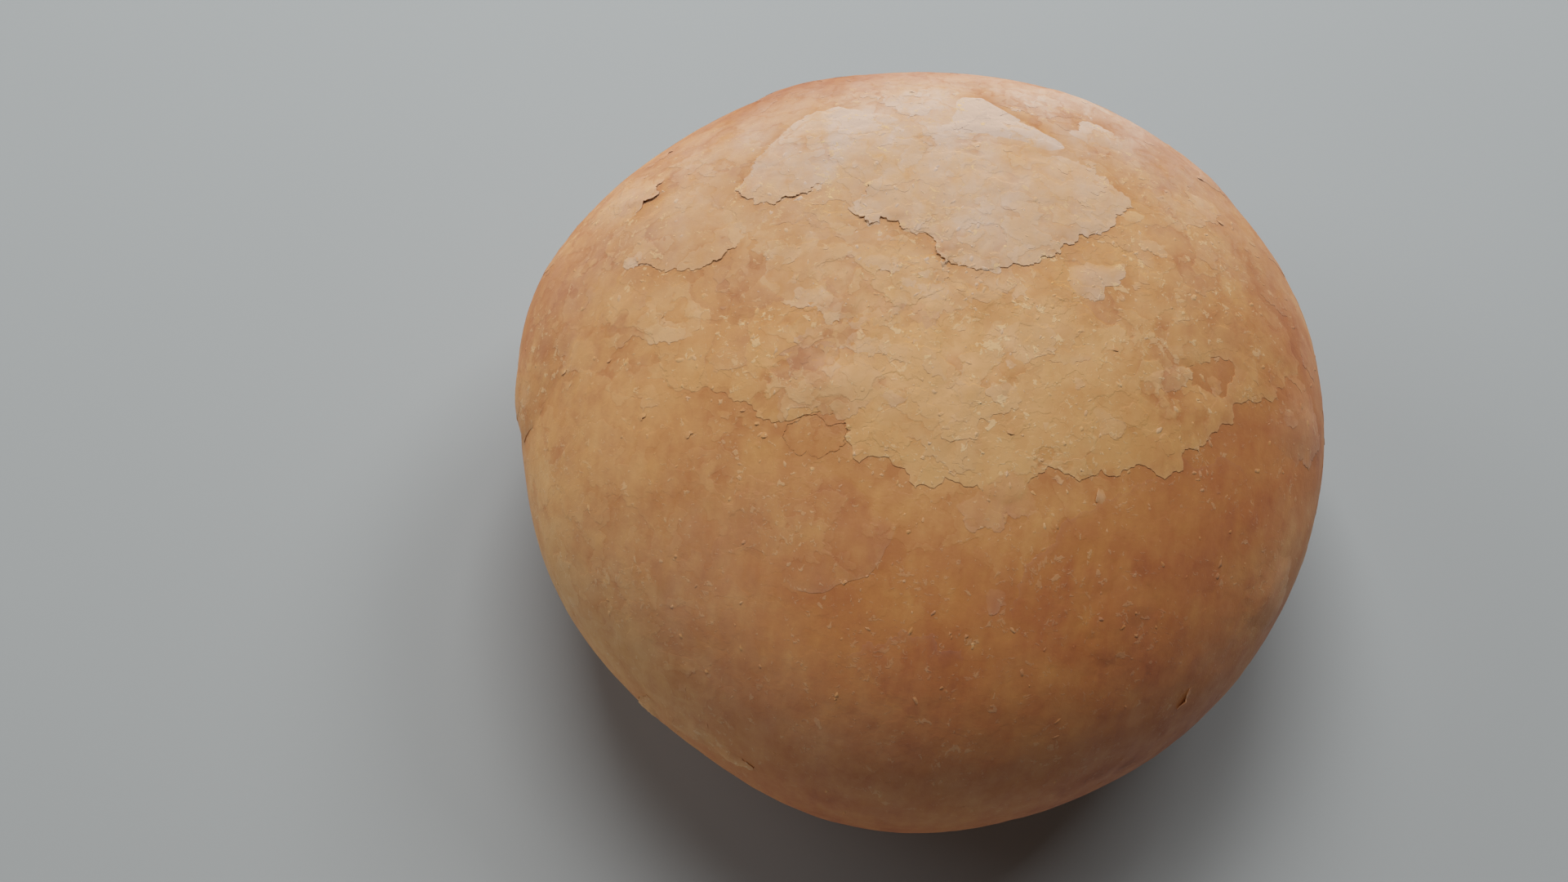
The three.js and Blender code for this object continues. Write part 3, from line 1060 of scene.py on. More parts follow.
def filled(loops: Sequence[Array], spacing: float) -> tuple[Array, Array]:
    """Fills the first loop, less the others, with even triangles.

    Args:
        loops: The outline, then any holes.
        spacing: The length of a triangle's side.

    Returns:
        The spots, those of the loops first, and the triangles, anticlockwise.
    """
    corners = np.concatenate(loops)
    low, high = corners.min(axis=0), corners.max(axis=0)
    rows = np.arange(low[1], high[1], spacing * math.sqrt(3) / 2)
    columns = np.arange(low[0], high[0], spacing)
    grid = [(x + (index % 2) * spacing / 2, y) for index, y in enumerate(rows) for x in columns]
    spots = np.array(grid).reshape(-1, 2)
    keep = within(spots, loops) & (distance_to(spots, loops) > EDGE_GAP * spacing)
    spots = np.concatenate([corners, spots[keep]])
    edges, start = [], 0
    for loop in loops:
        count = len(loop)
        edges += [(start + index, start + (index + 1) % count) for index in range(count)]
        start += count
    places = [Vector(spot) for spot in spots.tolist()]
    made, _, faces, origins, _, _ = delaunay_2d_cdt(places, edges, [], 0, WELD)
    flat = np.array([tuple(spot) for spot in made])
    order = np.array([sources[0] if sources else -1 for sources in origins])
    triangles = np.array([face for face in faces if len(face) == 3])
    centres = flat[triangles].mean(axis=1)
    keep = within(centres, loops) & (order[triangles] >= 0).all(axis=1)
    triangles = order[triangles[keep]]
    first = spots[triangles[:, 1]] - spots[triangles[:, 0]]
    second = spots[triangles[:, 2]] - spots[triangles[:, 0]]
    flipped = first[:, 0] * second[:, 1] < first[:, 1] * second[:, 0]
    triangles[flipped] = triangles[flipped][:, ::-1]
    return spots, triangles


@dataclass
class SlabMaker:
    """Makes a plate into a closed thin body that follows what is below it, with an overhanging rim."""

    dough: Dough
    toning: Toning
    layers: Layers

    RIM_THICKNESS = 0.06
    ROOT_DEPTH = 0.55
    RIM_REACH = 0.3
    OVERHANG = 1.1
    COARSER_BELOW = 4.0
    UNDERSIDE_SHADE_BAKE = 0.12

    def add(self, gathered: Gathered, plate: Plate, spacing: float, stacked: bool = True) -> None:
        """Adds one plate to a piece.

        Args:
            gathered: The piece.
            plate: The plate.
            spacing: The side of its triangles.
            stacked: Whether it is one of the layers, and not a scrap on top of them.
        """
        spots, triangles = filled(plate.loops, spacing)
        inset = distance_to(spots, plate.loops)
        ways = self.dough.ways_round(plate.middle, spots)
        below = self.layers.top(ways, plate if stacked else None)
        height = below.height + plate.rise(spots, inset)
        bake, paleness = self.toning.at(self.dough, ways)
        free = plate.free(spots, inset)
        bake += below.bake + free * (plate.spec.bake - below.bake)
        paleness += below.paleness + free * (plate.spec.paleness - below.paleness)
        # How near the free rim: the finish pales it, partly whitish torn crust and partly a painted
        # highlight.
        rim = np.exp(-inset / self.RIM_REACH) * free**2
        lee = self.layers.lee(ways, plate) if stacked else 0.0
        start = gathered.count
        gathered.add(self.dough.surface(ways, height), triangles, bake, paleness, rim, lee)

        count = sum(len(loop) for loop in plate.loops)
        low_spots, low_triangles = filled(plate.loops, self.COARSER_BELOW * spacing)
        low_ways = self.dough.ways_round(plate.middle, low_spots)
        low_height = np.full(len(low_spots), float(below.height.min()) - self.ROOT_DEPTH)
        low_height[:count] = height[:count] - max(self.RIM_THICKNESS, self.OVERHANG * plate.spec.edge)
        walls, first = [], 0
        for loop in plate.loops:
            low = first + np.arange(len(loop))
            low_after = first + (np.arange(len(loop)) + 1) % len(loop)
            top, top_after = low + start - gathered.count, low_after + start - gathered.count
            walls.append(np.column_stack([top, low, low_after]))
            walls.append(np.column_stack([top, low_after, top_after]))
            first += len(loop)
        everything = np.concatenate([low_triangles[:, ::-1], *walls])
        # The underside and the foot of the rim walls are browner and without film: painted shade under the
        # plate.
        dark = np.full(len(low_spots), float(bake.mean()) + self.UNDERSIDE_SHADE_BAKE)
        gathered.add(self.dough.surface(low_ways, low_height), everything, dark, 0.0, 0.0, 0.0)


# ---------------------------------------------------------------------------------------------------
# The pieces of the roll
# ---------------------------------------------------------------------------------------------------


@dataclass(frozen=True)
class DoughBody:
    """The body under the skin, which shows at the sides, the foot and the bare places."""

    dough: Dough
    toning: Toning
    layers: Layers
    frequency: int = 96

    def sphere(self) -> tuple[Array, Array]:
        """Returns the directions and triangles of an even sphere.

        Returns:
            Unit directions, one row each, and triangles that face out.
        """
        ball = bmesh.new()
        bmesh.ops.create_icosphere(ball, subdivisions=1, radius=1.0)
        corners = np.array([vertex.co[:] for vertex in ball.verts])
        faces = [[vertex.index for vertex in face.verts] for face in ball.faces]
        ball.free()
        size = self.frequency
        rows = [(i, j) for i in range(size + 1) for j in range(size + 1 - i)]
        number = {row: index for index, row in enumerate(rows)}
        share = np.array([(i, j, size - i - j) for i, j in rows]) / size
        pattern = []
        for i, j in rows:
            if i + j < size:
                pattern.append((number[i, j], number[i + 1, j], number[i, j + 1]))
            if i + j < size - 1:
                pattern.append((number[i + 1, j], number[i + 1, j + 1], number[i, j + 1]))
        points = np.concatenate([share @ corners[face] for face in faces])
        triangles = np.concatenate([np.array(pattern) + k * len(rows) for k in range(len(faces))])
        points /= np.linalg.norm(points, axis=1)[:, None]
        _, first, same = np.unique(np.round(points, 6), axis=0, return_index=True, return_inverse=True)
        points, triangles = points[first], same.reshape(-1)[triangles]
        sides = points[triangles]
        outward = np.cross(sides[:, 1] - sides[:, 0], sides[:, 2] - sides[:, 0])
        flipped = (outward * sides[:, 0]).sum(axis=1) < 0
        triangles[flipped] = triangles[flipped][:, ::-1]
        return points, triangles

    def build(self) -> Piece:
        """Makes the body.

        Returns:
            The piece.
        """
        ways, triangles = self.sphere()
        gathered = Gathered()
        bake, paleness = self.toning.at(self.dough, ways)
        lee = self.layers.lee(ways)
        bake += self.layers.BARE_BAKE
        gathered.add(self.dough.surface(ways, 0.0), triangles, bake, paleness, 0.0, lee)
        return gathered.build("roll_body")


@dataclass(frozen=True)
class FlakedSkin:
    """The dry skin over the top, the plates and flakes under and on it, and the scraps on top."""

    slabs: SlabMaker
    skin: Plate
    plates: tuple[Plate, ...]
    flakes: tuple[Plate, ...]
    scraps: tuple[Plate, ...]
    spacing: float = 0.36
    scrap_spacing: float = 0.45

    def build(self) -> list[Piece]:
        """Makes the skin, the plates, the flakes and the scraps.

        Returns:
            One piece for each kind.
        """
        pieces = []
        kinds = {"skin": (self.skin,), "plates": self.plates, "flakes": self.flakes, "scraps": self.scraps}
        for name, plates in kinds.items():
            gathered, stacked = Gathered(), name != "scraps"
            for plate in plates:
                self.slabs.add(gathered, plate, self.spacing if stacked else self.scrap_spacing, stacked)
            pieces.append(gathered.build("crust_" + name))
        return pieces


@dataclass(frozen=True)
class Flakes:
    """Thin flakes of dry crust, half torn off, at random places, with few of them low on the front.

    front is the azimuth and half width of that side, and the fall it starts at. Where two numbers are
    given they are the least and the most. A flake's tone varies less the lower it lies.
    """

    count: int
    spread: Span
    thickness: Span
    corners: int = 9
    falls: float = 84.0
    crowding: float = 1.4
    front: tuple[float, float, float] = (-90.0, 75.0, 33.0)
    front_share: float = 0.12
    smallness: float = 1.8
    stretch: float = 0.35
    unevenness: Span = (0.6, 1.3)
    edge: float = 0.03
    driest: float = 1.1
    dry_fall: float = 95.0
    palenesses: Span = (-0.07, 0.22)
    bakes: Span = (-0.15, 0.12)
    opens: Span = (-165.0, -5.0)
    openings: Span = (35.0, 80.0)

    def plates(self, layers: Layers, draw: Draw) -> tuple[Plate, ...]:
        """Draws the flakes.

        Args:
            layers: What they lie on.
            draw: The source of their places, sizes and tones.

        Returns:
            The flakes.
        """
        falls = self.falls * draw.beta(self.crowding, self.crowding, self.count)
        azimuths = draw.uniform(-180.0, 180.0, self.count)
        below = layers.top(np.array([direction(*place) for place in zip(azimuths, falls)]))
        azimuth, width, fall = self.front
        on_front = (np.abs((azimuths - azimuth + 180.0) % 360.0 - 180.0) < width) & (falls > fall)
        kept = ~on_front | (draw.uniform(size=self.count) < self.front_share)
        return tuple(
            Plate.torn(self.spec(azimuths[k], falls[k], below.bake[k], below.paleness[k], draw), draw)
            for k in np.flatnonzero(kept)
        )

    def spec(self, azimuth: float, fall: float, bake: float, paleness: float, draw: Draw) -> PlateSpec:
        """Returns one flake.

        Args:
            azimuth: Its place, in degrees.
            fall: How far that is from the crown.
            bake: How much browner its surroundings are than the oven has left that part of the roll.
            paleness: How much paler they are.
            draw: The source of its size and tone.

        Returns:
            Its place, size and lie.
        """
        low, high = self.spread
        size = low + (high - low) * draw.uniform() ** self.smallness
        bearings = np.arange(self.corners) * FULL_TURN / self.corners
        stretch = 1.0 + self.stretch * np.cos(2.0 * (bearings - draw.uniform(0.0, FULL_TURN)))
        reach = size * stretch * draw.uniform(*self.unevenness, self.corners)
        dry = self.driest - fall / self.dry_fall
        return PlateSpec(
            float(azimuth), float(fall), tuple(reach.tolist()),
            thickness=float(draw.uniform(*self.thickness)), edge=self.edge,
            paleness=float(paleness + dry * dry * draw.uniform(*self.palenesses)),
            bake=float(bake + dry * draw.uniform(*self.bakes)),
            open=float(draw.uniform(*self.opens)), opening=float(draw.uniform(*self.openings)),
            tear=Tear.SCRAP,
        )


@dataclass(frozen=True)
class Flecks:
    """Pale specks of crust, each a tiny low chip.

    Where two numbers are given they are the least and the most, but lean holds the mean bearing of a chip's
    length and its spread, in radians, and crowding how the chips gather near the crown and near the waist.
    """

    dough: Dough
    toning: Toning
    layers: Layers
    count: int = 1500
    corners: int = 7
    spread: Span = (0.09, 0.42)
    falls: float = 90.0
    crowding: Span = (1.5, 1.6)
    smallness: float = 2.6
    stretch: Span = (1.0, 2.4)
    lean: Span = (math.pi / 2, 0.6)
    unevenness: Span = (0.45, 1.3)
    top_share: float = 0.55
    rise: float = 0.05
    root: float = 0.15
    paleness: Span = (0.0, 0.5)
    pale_fall: float = 80.0
    bake: Span = (0.04, 0.24)

    def chip(self) -> Array:
        """Numbers the corners of a chip: its top, its slope and its underside.

        Returns:
            Its triangles.
        """
        here = np.arange(self.corners)
        after = (here + 1) % self.corners
        inner, outer = here + 1, here + 1 + self.corners
        inner_after, outer_after = after + 1, after + 1 + self.corners
        top = np.column_stack([np.zeros(self.corners, int), inner, inner_after])
        slope = np.column_stack([inner, outer, outer_after])
        slope_after = np.column_stack([inner, outer_after, inner_after])
        floor = np.column_stack([np.full(self.corners - 2, outer[0]), outer[2:], outer[1:-1]])
        return np.concatenate([top, slope, slope_after, floor])

    def build(self, draw: Draw) -> Piece:
        """Makes the flecks as one piece.

        Args:
            draw: The source of their places, sizes and tones.

        Returns:
            The piece.
        """
        gathered = Gathered()
        turn, triangles = np.arange(self.corners) * FULL_TURN / self.corners, self.chip()
        falls = self.falls * draw.beta(*self.crowding, self.count)
        azimuths = draw.uniform(-180.0, 180.0, self.count)
        middles = np.array([direction(*place) for place in zip(azimuths, falls)])
        below = self.layers.top(middles)
        bakes, palenesses = self.toning.at(self.dough, middles)
        low, high = self.spread
        bakes, palenesses = bakes + below.bake, palenesses + below.paleness
        for fall, middle, level, bake, paleness in zip(falls, middles, below.height, bakes, palenesses):
            size = low + (high - low) * draw.uniform() ** self.smallness
            stretch, bearing = draw.uniform(*self.stretch), draw.normal(*self.lean)
            radius = size * draw.uniform(*self.unevenness, self.corners)
            along, across = np.cos(turn) * radius * stretch, np.sin(turn) * radius
            east = along * math.cos(bearing) - across * math.sin(bearing)
            north = along * math.sin(bearing) + across * math.cos(bearing)
            rim = np.column_stack([east, north])
            spots = np.concatenate([[[0.0, 0.0]], rim * self.top_share, rim])
            lift = np.full(len(spots), level - self.root)
            lift[: self.corners + 1] = level + self.rise * size / high
            points = self.dough.surface(self.dough.ways_round(middle, spots), lift)
            pale = paleness + draw.uniform(*self.paleness) * max(0.0, 1.0 - fall / self.pale_fall)
            gathered.add(points, triangles, bake - draw.uniform(*self.bake), pale, 0.0, 0.0)
        return gathered.build("crust_flecks", sharp_angle=70.0)


# ---------------------------------------------------------------------------------------------------
# Finishes
# ---------------------------------------------------------------------------------------------------


class NodeBench:
    """Adds nodes to a tree and wires them up."""

    def __init__(self, tree: Tree) -> None:
        """Keeps the tree that the nodes go into."""
        self.tree = tree

    def add(
        self, kind: str, wires: Mapping[str | int, Wire] | None = None, **settings: object
    ) -> bpy.types.Node:
        """Adds a node.

        Args:
            kind: The node's Blender type.
            wires: Its inputs by name or number, each a socket to link from or a value.
            settings: Its properties.

        Returns:
            The node.
        """
        node = self.tree.nodes.new(kind)
        for name, value in settings.items():
            setattr(node, name, value)
        for key, value in (wires or {}).items():
            socket = node.inputs[key]
            if isinstance(value, Socket):
                self.tree.links.new(value, socket)
            elif isinstance(value, tuple) and socket.type == "RGBA":
                socket.default_value = (*value, 1.0)
            else:
                socket.default_value = value
        return node

    def math(self, operation: str, first: Wire, second: Wire = 0.0, clamp: bool = False) -> Socket:
        """Adds a Math node and returns its result."""
        wires = {0: first, 1: second}
        return self.add("ShaderNodeMath", wires, operation=operation, use_clamp=clamp).outputs[0]

    def times(self, first: Wire, second: Wire) -> Socket:
        """Returns the product of two values."""
        return self.math("MULTIPLY", first, second)

    def plus(self, first: Wire, second: Wire) -> Socket:
        """Returns the sum of two values."""
        return self.math("ADD", first, second)

    def minus(self, first: Wire, second: Wire) -> Socket:
        """Returns the difference of two values."""
        return self.math("SUBTRACT", first, second)

    def weighted(self, *terms: tuple[Wire, float]) -> Socket:
        """Adds up values, each times its weight.

        Args:
            terms: The values with their weights.

        Returns:
            The sum.
        """
        total, *others = (self.times(value, weight) for value, weight in terms)
        for other in others:
            total = self.plus(total, other)
        return total

    def blend(self, factor: Wire, first: Wire, second: Wire) -> Socket:
        """Mixes two colours, the factor clamped, and returns the result."""
        return self.add("ShaderNodeMix", {0: factor, 6: first, 7: second}, data_type="RGBA").outputs[2]

    def rise(self, value: Wire, low: Wire, high: Wire) -> Socket:
        """Maps low to high onto 0 to 1, smoothly and clamped, and returns the result."""
        wires = {0: value, 1: low, 2: high, 3: 0.0, 4: 1.0}
        return self.add("ShaderNodeMapRange", wires, interpolation_type="SMOOTHSTEP").outputs[0]

    def noise(
        self, place: Wire, scale: Wire, detail: float = 3.0, roughness: float = 0.5, output: str = "Fac"
    ) -> Socket:
        """Adds a Noise Texture and returns one of its outputs."""
        wires = {"Vector": place, "Scale": scale, "Detail": detail, "Roughness": roughness}
        return self.add("ShaderNodeTexNoise", wires).outputs[output]

    def moved(self, place: Wire, scale: float, amount: float, detail: float = 2.0) -> Socket:
        """Moves a place about by noise.

        Args:
            place: The place.
            scale: The noise's scale.
            amount: How far it moves the place, in metres.
            detail: The noise's detail.

        Returns:
            The moved place.
        """
        wires = {0: self.noise(place, scale, detail, 0.6, "Color"), 1: (amount, amount, amount)}
        shift = self.add("ShaderNodeVectorMath", wires, operation="MULTIPLY").outputs[0]
        return self.add("ShaderNodeVectorMath", {0: place, 1: shift}, operation="ADD").outputs[0]

    def attribute(self, name: str) -> Socket:
        """Returns the value of a mesh attribute."""
        return self.add("ShaderNodeAttribute", attribute_name=name).outputs["Fac"]

    def surface(self, wires: Mapping[str | int, Wire]) -> None:
        """Adds a material's shader, with its inputs by name, and its output."""
        shader = self.add("ShaderNodeBsdfPrincipled", wires).outputs["BSDF"]
        self.add("ShaderNodeOutputMaterial", {"Surface": shader})


def new_material(name: str) -> tuple[bpy.types.Material, NodeBench]:
    """Makes an empty material.

    Args:
        name: Its name.

    Returns:
        The material, and a bench for its nodes.
    """
    material = bpy.data.materials.new(name)
    material.use_nodes = True
    material.node_tree.nodes.clear()
    return material, NodeBench(material.node_tree)


@dataclass(frozen=True)
class Effect:
    """A node group that more than one crust uses: its name, its inputs' defaults, and its outputs."""

    name: str
    inputs: tuple[tuple[str, float], ...]
    outputs: tuple[str, ...]

    def start(self) -> tuple[NodeBench, Mapping[str, Socket], bpy.types.Node]:
        """Makes the empty group, whose first input is the place.

        Returns:
            A bench for its nodes, its inputs, and its output node.
        """
        group = bpy.data.node_groups.new(self.name, "ShaderNodeTree")
        group.interface.new_socket("Place", in_out="INPUT", socket_type="NodeSocketVector")
        for name, value in self.inputs:
            socket = group.interface.new_socket(name, in_out="INPUT", socket_type="NodeSocketFloat")
            socket.default_value = value
        for name in self.outputs:
            group.interface.new_socket(name, in_out="OUTPUT", socket_type="NodeSocketFloat")
        bench = NodeBench(group)
        return bench, bench.add("NodeGroupInput").outputs, bench.add("NodeGroupOutput")


def torn_layers() -> Tree:
    """Makes the effect of a thin layer torn away in ragged patches.

    Returns:
        The group. Left is 1 where the layer is left and crisp at its edge, Lip is a band on the layer
        beside the edge, and Foot a band beside it on what lies below. The crusts pale the lip, partly as a
        painted highlight, and darken the foot as painted shade.
    """
    defaults = (("Scale", 100.0), ("Level", 0.5), ("Band", 0.06))
    bench, given, result = Effect("torn layers", defaults, ("Left", "Lip", "Foot")).start()
    place = bench.moved(given["Place"], scale=420.0, amount=0.0022)
    place = bench.moved(place, scale=1900.0, amount=0.0007, detail=3.0)
    gap = bench.minus(bench.noise(place, given["Scale"], detail=2.0, roughness=0.45), given["Level"])
    left = bench.rise(gap, -0.008, 0.008)
    lip = bench.minus(left, bench.rise(gap, 0.0, given["Band"]))
    below = bench.rise(bench.times(gap, -1.0), 0.0, given["Band"])
    foot = bench.minus(bench.minus(1.0, left), below)
    for name, value in (("Left", left), ("Lip", lip), ("Foot", foot)):
        bench.tree.links.new(value, result.inputs[name])
    return bench.tree


def crumbs() -> Tree:
    """Makes the effect of small ragged specks that gather in drifts.

    Returns:
        The group: Mask is 1 on the specks.
    """
    defaults = (("Scale", 900.0), ("Level", 0.62), ("Drift", 0.3))
    bench, given, result = Effect("crumbs", defaults, ("Mask",)).start()
    place = bench.moved(given["Place"], scale=700.0, amount=0.0015)
    specks = bench.noise(place, given["Scale"], roughness=0.62)
    drift = bench.noise(given["Place"], bench.times(given["Scale"], 0.14), detail=2.0)
    gathered = bench.plus(specks, bench.times(bench.minus(drift, 0.5), given["Drift"]))
    over = bench.minus(gathered, given["Level"])
    bench.tree.links.new(bench.rise(over, 0.0, 0.035), result.inputs["Mask"])
    return bench.tree


@dataclass(frozen=True)
class Pattern:
    """A pattern over the crust, and the scale and size in metres of a noise that moves it about first."""

    scale: float
    moved: Span | None = None

    def put(self, bench: NodeBench, place: Wire) -> Wire:
        """Returns a place, moved about for this pattern."""
        return bench.moved(place, *self.moved) if self.moved else place


@dataclass(frozen=True)
class Grain(Pattern):
    """A noise over the crust."""

    detail: float = 3.0
    roughness: float = 0.5

    def over(self, bench: NodeBench, place: Wire) -> Socket:
        """Lays the noise over a place and returns it, about 0 to 1."""
        return bench.noise(self.put(bench, place), self.scale, self.detail, self.roughness)


@dataclass(frozen=True)
class Torn(Pattern):
    """A use of the torn layers: the level a layer is torn at, and the width of its lip and its foot."""

    level: float = 0.5
    band: float = 0.1


@dataclass(frozen=True)
class Specks(Pattern):
    """A use of the crumbs: the level they are cut off at, and how strongly they gather."""

    level: float = 0.62
    drift: float = 0.3


@dataclass(frozen=True)
class Effects:
    """The node groups that the crusts share."""

    layers: Tree
    crumbs: Tree

    def torn(self, bench: NodeBench, place: Wire, use: Torn) -> Mapping[str, Socket]:
        """Adds the torn layers effect to a material and returns its outputs."""
        wires = {"Place": use.put(bench, place), "Scale": use.scale, "Level": use.level, "Band": use.band}
        return bench.add("ShaderNodeGroup", wires, node_tree=self.layers).outputs

    def specks(self, bench: NodeBench, place: Wire, use: Specks) -> Socket:
        """Adds the crumbs effect to a material and returns its mask."""
        wires = {"Place": use.put(bench, place), "Scale": use.scale, "Level": use.level, "Drift": use.drift}
        return bench.add("ShaderNodeGroup", wires, node_tree=self.crumbs).outputs["Mask"]


@dataclass(frozen=True)
class CrustFinish:
    """The finish of baked crust. Colours are linear, and the browning steps run from pale to dark."""

    name: str
    steps: tuple[tuple[float, Colour], ...] = (
        (0.0, (0.73, 0.46, 0.180)),
        (0.25, (0.68, 0.37, 0.115)),
        (0.5, (0.58, 0.245, 0.060)),
        (0.75, (0.50, 0.165, 0.037)),
        (0.92, (0.42, 0.115, 0.028)),
        (1.0, (0.33, 0.092, 0.026)),
    )
    pale: Colour = (0.71, 0.585, 0.495)
    bare: Colour = (0.58, 0.270, 0.075)
    crumb: Colour = (0.80, 0.62, 0.37)
    pit: Colour = (0.24, 0.09, 0.03)
    # The noises it varies by, the levels at which it counts as broken, and how streaks are drawn out.
    mottle: Grain = Grain(240.0, (300.0, 0.002), 4.0, 0.6)
    streaks: Grain = Grain(620.0, (300.0, 0.001), 4.0, 0.6)
    drift: Grain = Grain(75.0)
    veil: Grain = Grain(210.0, (160.0, 0.003), 5.0, 0.68)
    fine: Grain = Grain(1400.0, detail=4.0, roughness=0.6)
    breaks: Grain = Grain(130.0, detail=2.0)
    break_levels: Span = (0.45, 0.58)
    streak_scale: tuple[float, float, float] = (1.0, 0.4, 0.4)
    # Its torn layers and its specks.
    broad: Torn = Torn(115.0, level=0.5, band=0.10)
    small: Torn = Torn(250.0, (60.0, 0.004), level=0.52, band=0.09)
    tiny: Torn = Torn(620.0, level=0.53, band=0.08)
    flecks: Specks = Specks(700.0, level=0.66, drift=0.35)
    dust: Specks = Specks(1500.0, (90.0, 0.006), level=0.64, drift=0.4)
    pits: Specks = Specks(420.0, (50.0, 0.01), level=0.78, drift=0.2)
    # How the mottle, the drift and the streaks vary its browning, their mean, and how much they count for
    # each degree of browning and without any.
    uneven: tuple[float, float, float] = (0.46, 0.42, 0.40)
    even: float = 0.64
    uneven_depth: Span = (0.6, 0.8)
    # How much it flakes, and how fast browning ends that.
    flaking: float = 1.0
    flaking_loss: float = 1.25
    # What the feet and the tops of the broad and of the small layers add to its browning, the feet's share
    # being painted shade below torn edges, with what evens that out, what the tiny layers add, how much all
    # that counts when dry and anyway, and what a lee adds, partly painted shade under open edges.
    layer_steps_and_foot_shade: tuple[float, float, float, float] = (0.16, -0.12, 0.12, -0.10)
    step_level: float = 0.11
    tiny_step: float = -0.06
    step_depth: Span = (0.85, 0.05)
    lee_browning_and_shade: float = 0.15
    # Its dry film, what the mottle and the veil take from it, what it gains on lips and rims, partly a
    # painted highlight, and loses at feet and in a lee, which is painted shade, and how bare the crust is
    # in a lee.
    film: float = 2.25
    film_loss: Span = (0.6, 1.9)
    lip_film_and_highlight: float = 0.05
    rim_film_and_highlight: float = 0.07
    foot_shade_loss: float = 0.25
    lee_film_and_shade_loss: float = 0.6
    lee_bareness: float = 0.2
    # How strong its flecks and its dust are, how strong they are on crust that doesn't flake, and its pits.
    crumb_strength: Span = (0.6, 0.4)
    least_crumbs: float = 0.2
    pit_strength: float = 0.3
    # The height of the broad, small and tiny layers, of the fine noise and the mottle, and of crumbs.
    layer_height: tuple[float, float, float] = (0.55, 0.35, 0.15)
    grain_height: Span = (0.3, 0.8)
    crumb_height: float = 0.25
    bump: float = 0.5
    bump_height: float = 0.00022
    # Its roughness where the mottle is low and high, and those two levels.
    roughness: Span = (0.5, 0.72)
    rough_levels: Span = (0.3, 0.7)
    sheen: float = 0.055
    sheen_roughness: float = 0.6
    sheen_tint: Colour = (1.0, 0.80, 0.60)

    def tone(self, bench: NodeBench, value: Wire) -> Socket:
        """Returns the colour of crust that has browned so far.

        Args:
            bench: The bench of the material.
            value: How far, from 0 to 1.

        Returns:
            The colour.
        """
        ramp = bench.add("ShaderNodeValToRGB", {0: value})
        elements = ramp.color_ramp.elements
        while len(elements) < len(self.steps):
            elements.new(0.5)
        for element, (place, colour) in zip(elements, self.steps):
            element.position = place
            element.color = (*colour, 1.0)
        return ramp.outputs[0]

    def build(self, effects: Effects) -> bpy.types.Material:
        """Makes the material.

        Args:
            effects: The effects that crusts share.

        Returns:
            The material.
        """
        material, bench = new_material(self.name)
        place = bench.add("ShaderNodeTexCoord").outputs["Object"]
        bake, paleness, lee, rim = (bench.attribute(name) for name in ("bake", "paleness", "lee", "rim"))
        long = bench.add("ShaderNodeMapping", {"Vector": place, "Scale": self.streak_scale}).outputs[0]
        mottle, drift, fine = (grain.over(bench, place) for grain in (self.mottle, self.drift, self.fine))
        streaks, veil = self.streaks.over(bench, long), self.veil.over(bench, long)
        broken = bench.rise(self.breaks.over(bench, place), *self.break_levels)
        layers = [effects.torn(bench, place, use) for use in (self.broad, self.small, self.tiny)]
        broad, small, tiny = layers
        uses = self.flecks, self.dust, self.pits
        flecks, dust, pits = (effects.specks(bench, place, use) for use in uses)

        # Browning: uneven, more in the lee of an edge, and stepped where thin layers have torn. The feet
        # below torn edges are darker as painted shade, and the lee is partly so.
        uneven = bench.weighted(*zip((mottle, drift, streaks), self.uneven))
        more, least = self.uneven_depth
        depth = bench.plus(bench.times(bake, more), least)
        browned = bench.plus(bake, bench.times(bench.minus(uneven, self.even), depth))
        unbaked = bench.math("SUBTRACT", 1.0, bench.times(bake, self.flaking_loss), clamp=True)
        dryness = bench.times(unbaked, self.flaking)
        edges = broad["Foot"], broad["Left"], small["Foot"], small["Left"]
        steps = bench.plus(bench.weighted(*zip(edges, self.layer_steps_and_foot_shade)), self.step_level)
        tiny_steps = bench.times(bench.minus(tiny["Left"], 0.5), self.tiny_step)
        steps = bench.plus(bench.times(steps, broken), tiny_steps)
        more, least = self.step_depth
        browned = bench.plus(browned, bench.times(steps, bench.plus(bench.times(dryness, more), least)))
        colour = self.tone(bench, bench.plus(browned, bench.times(lee, self.lee_browning_and_shade)))

        # The pale dry film, thinner where it is veined, gone beside torn edges and whitest on their lips
        # and on free rims. The whiter lips and rims are partly whitish torn crust and partly a painted
        # highlight; the loss at the feet and in a lee is painted shade.
        loss = bench.weighted(*zip((mottle, veil), self.film_loss))
        dry = bench.times(paleness, bench.minus(self.film, loss))
        lips = bench.weighted((broad["Lip"], self.lip_film_and_highlight), (small["Lip"], self.lip_film_and_highlight))
        dry = bench.plus(dry, bench.times(bench.times(lips, dryness), broken))
        dry = bench.minus(dry, bench.times(bench.times(small["Foot"], paleness), self.foot_shade_loss))
        dry = bench.plus(dry, bench.times(rim, self.rim_film_and_highlight))
        dry = bench.math("MULTIPLY", dry, bench.minus(1.0, bench.times(lee, self.lee_film_and_shade_loss)), clamp=True)
        colour = bench.blend(dry, colour, self.pale)
        colour = bench.blend(bench.times(lee, self.lee_bareness), colour, self.bare)

        # Crumbs and dust on the dry places, and dark pits.
        light = bench.weighted(*zip((flecks, dust), self.crumb_strength))
        light = bench.times(light, bench.plus(dryness, self.least_crumbs))
        colour = bench.blend(light, colour, self.crumb)
        colour = bench.blend(bench.times(pits, self.pit_strength), colour, self.pit)

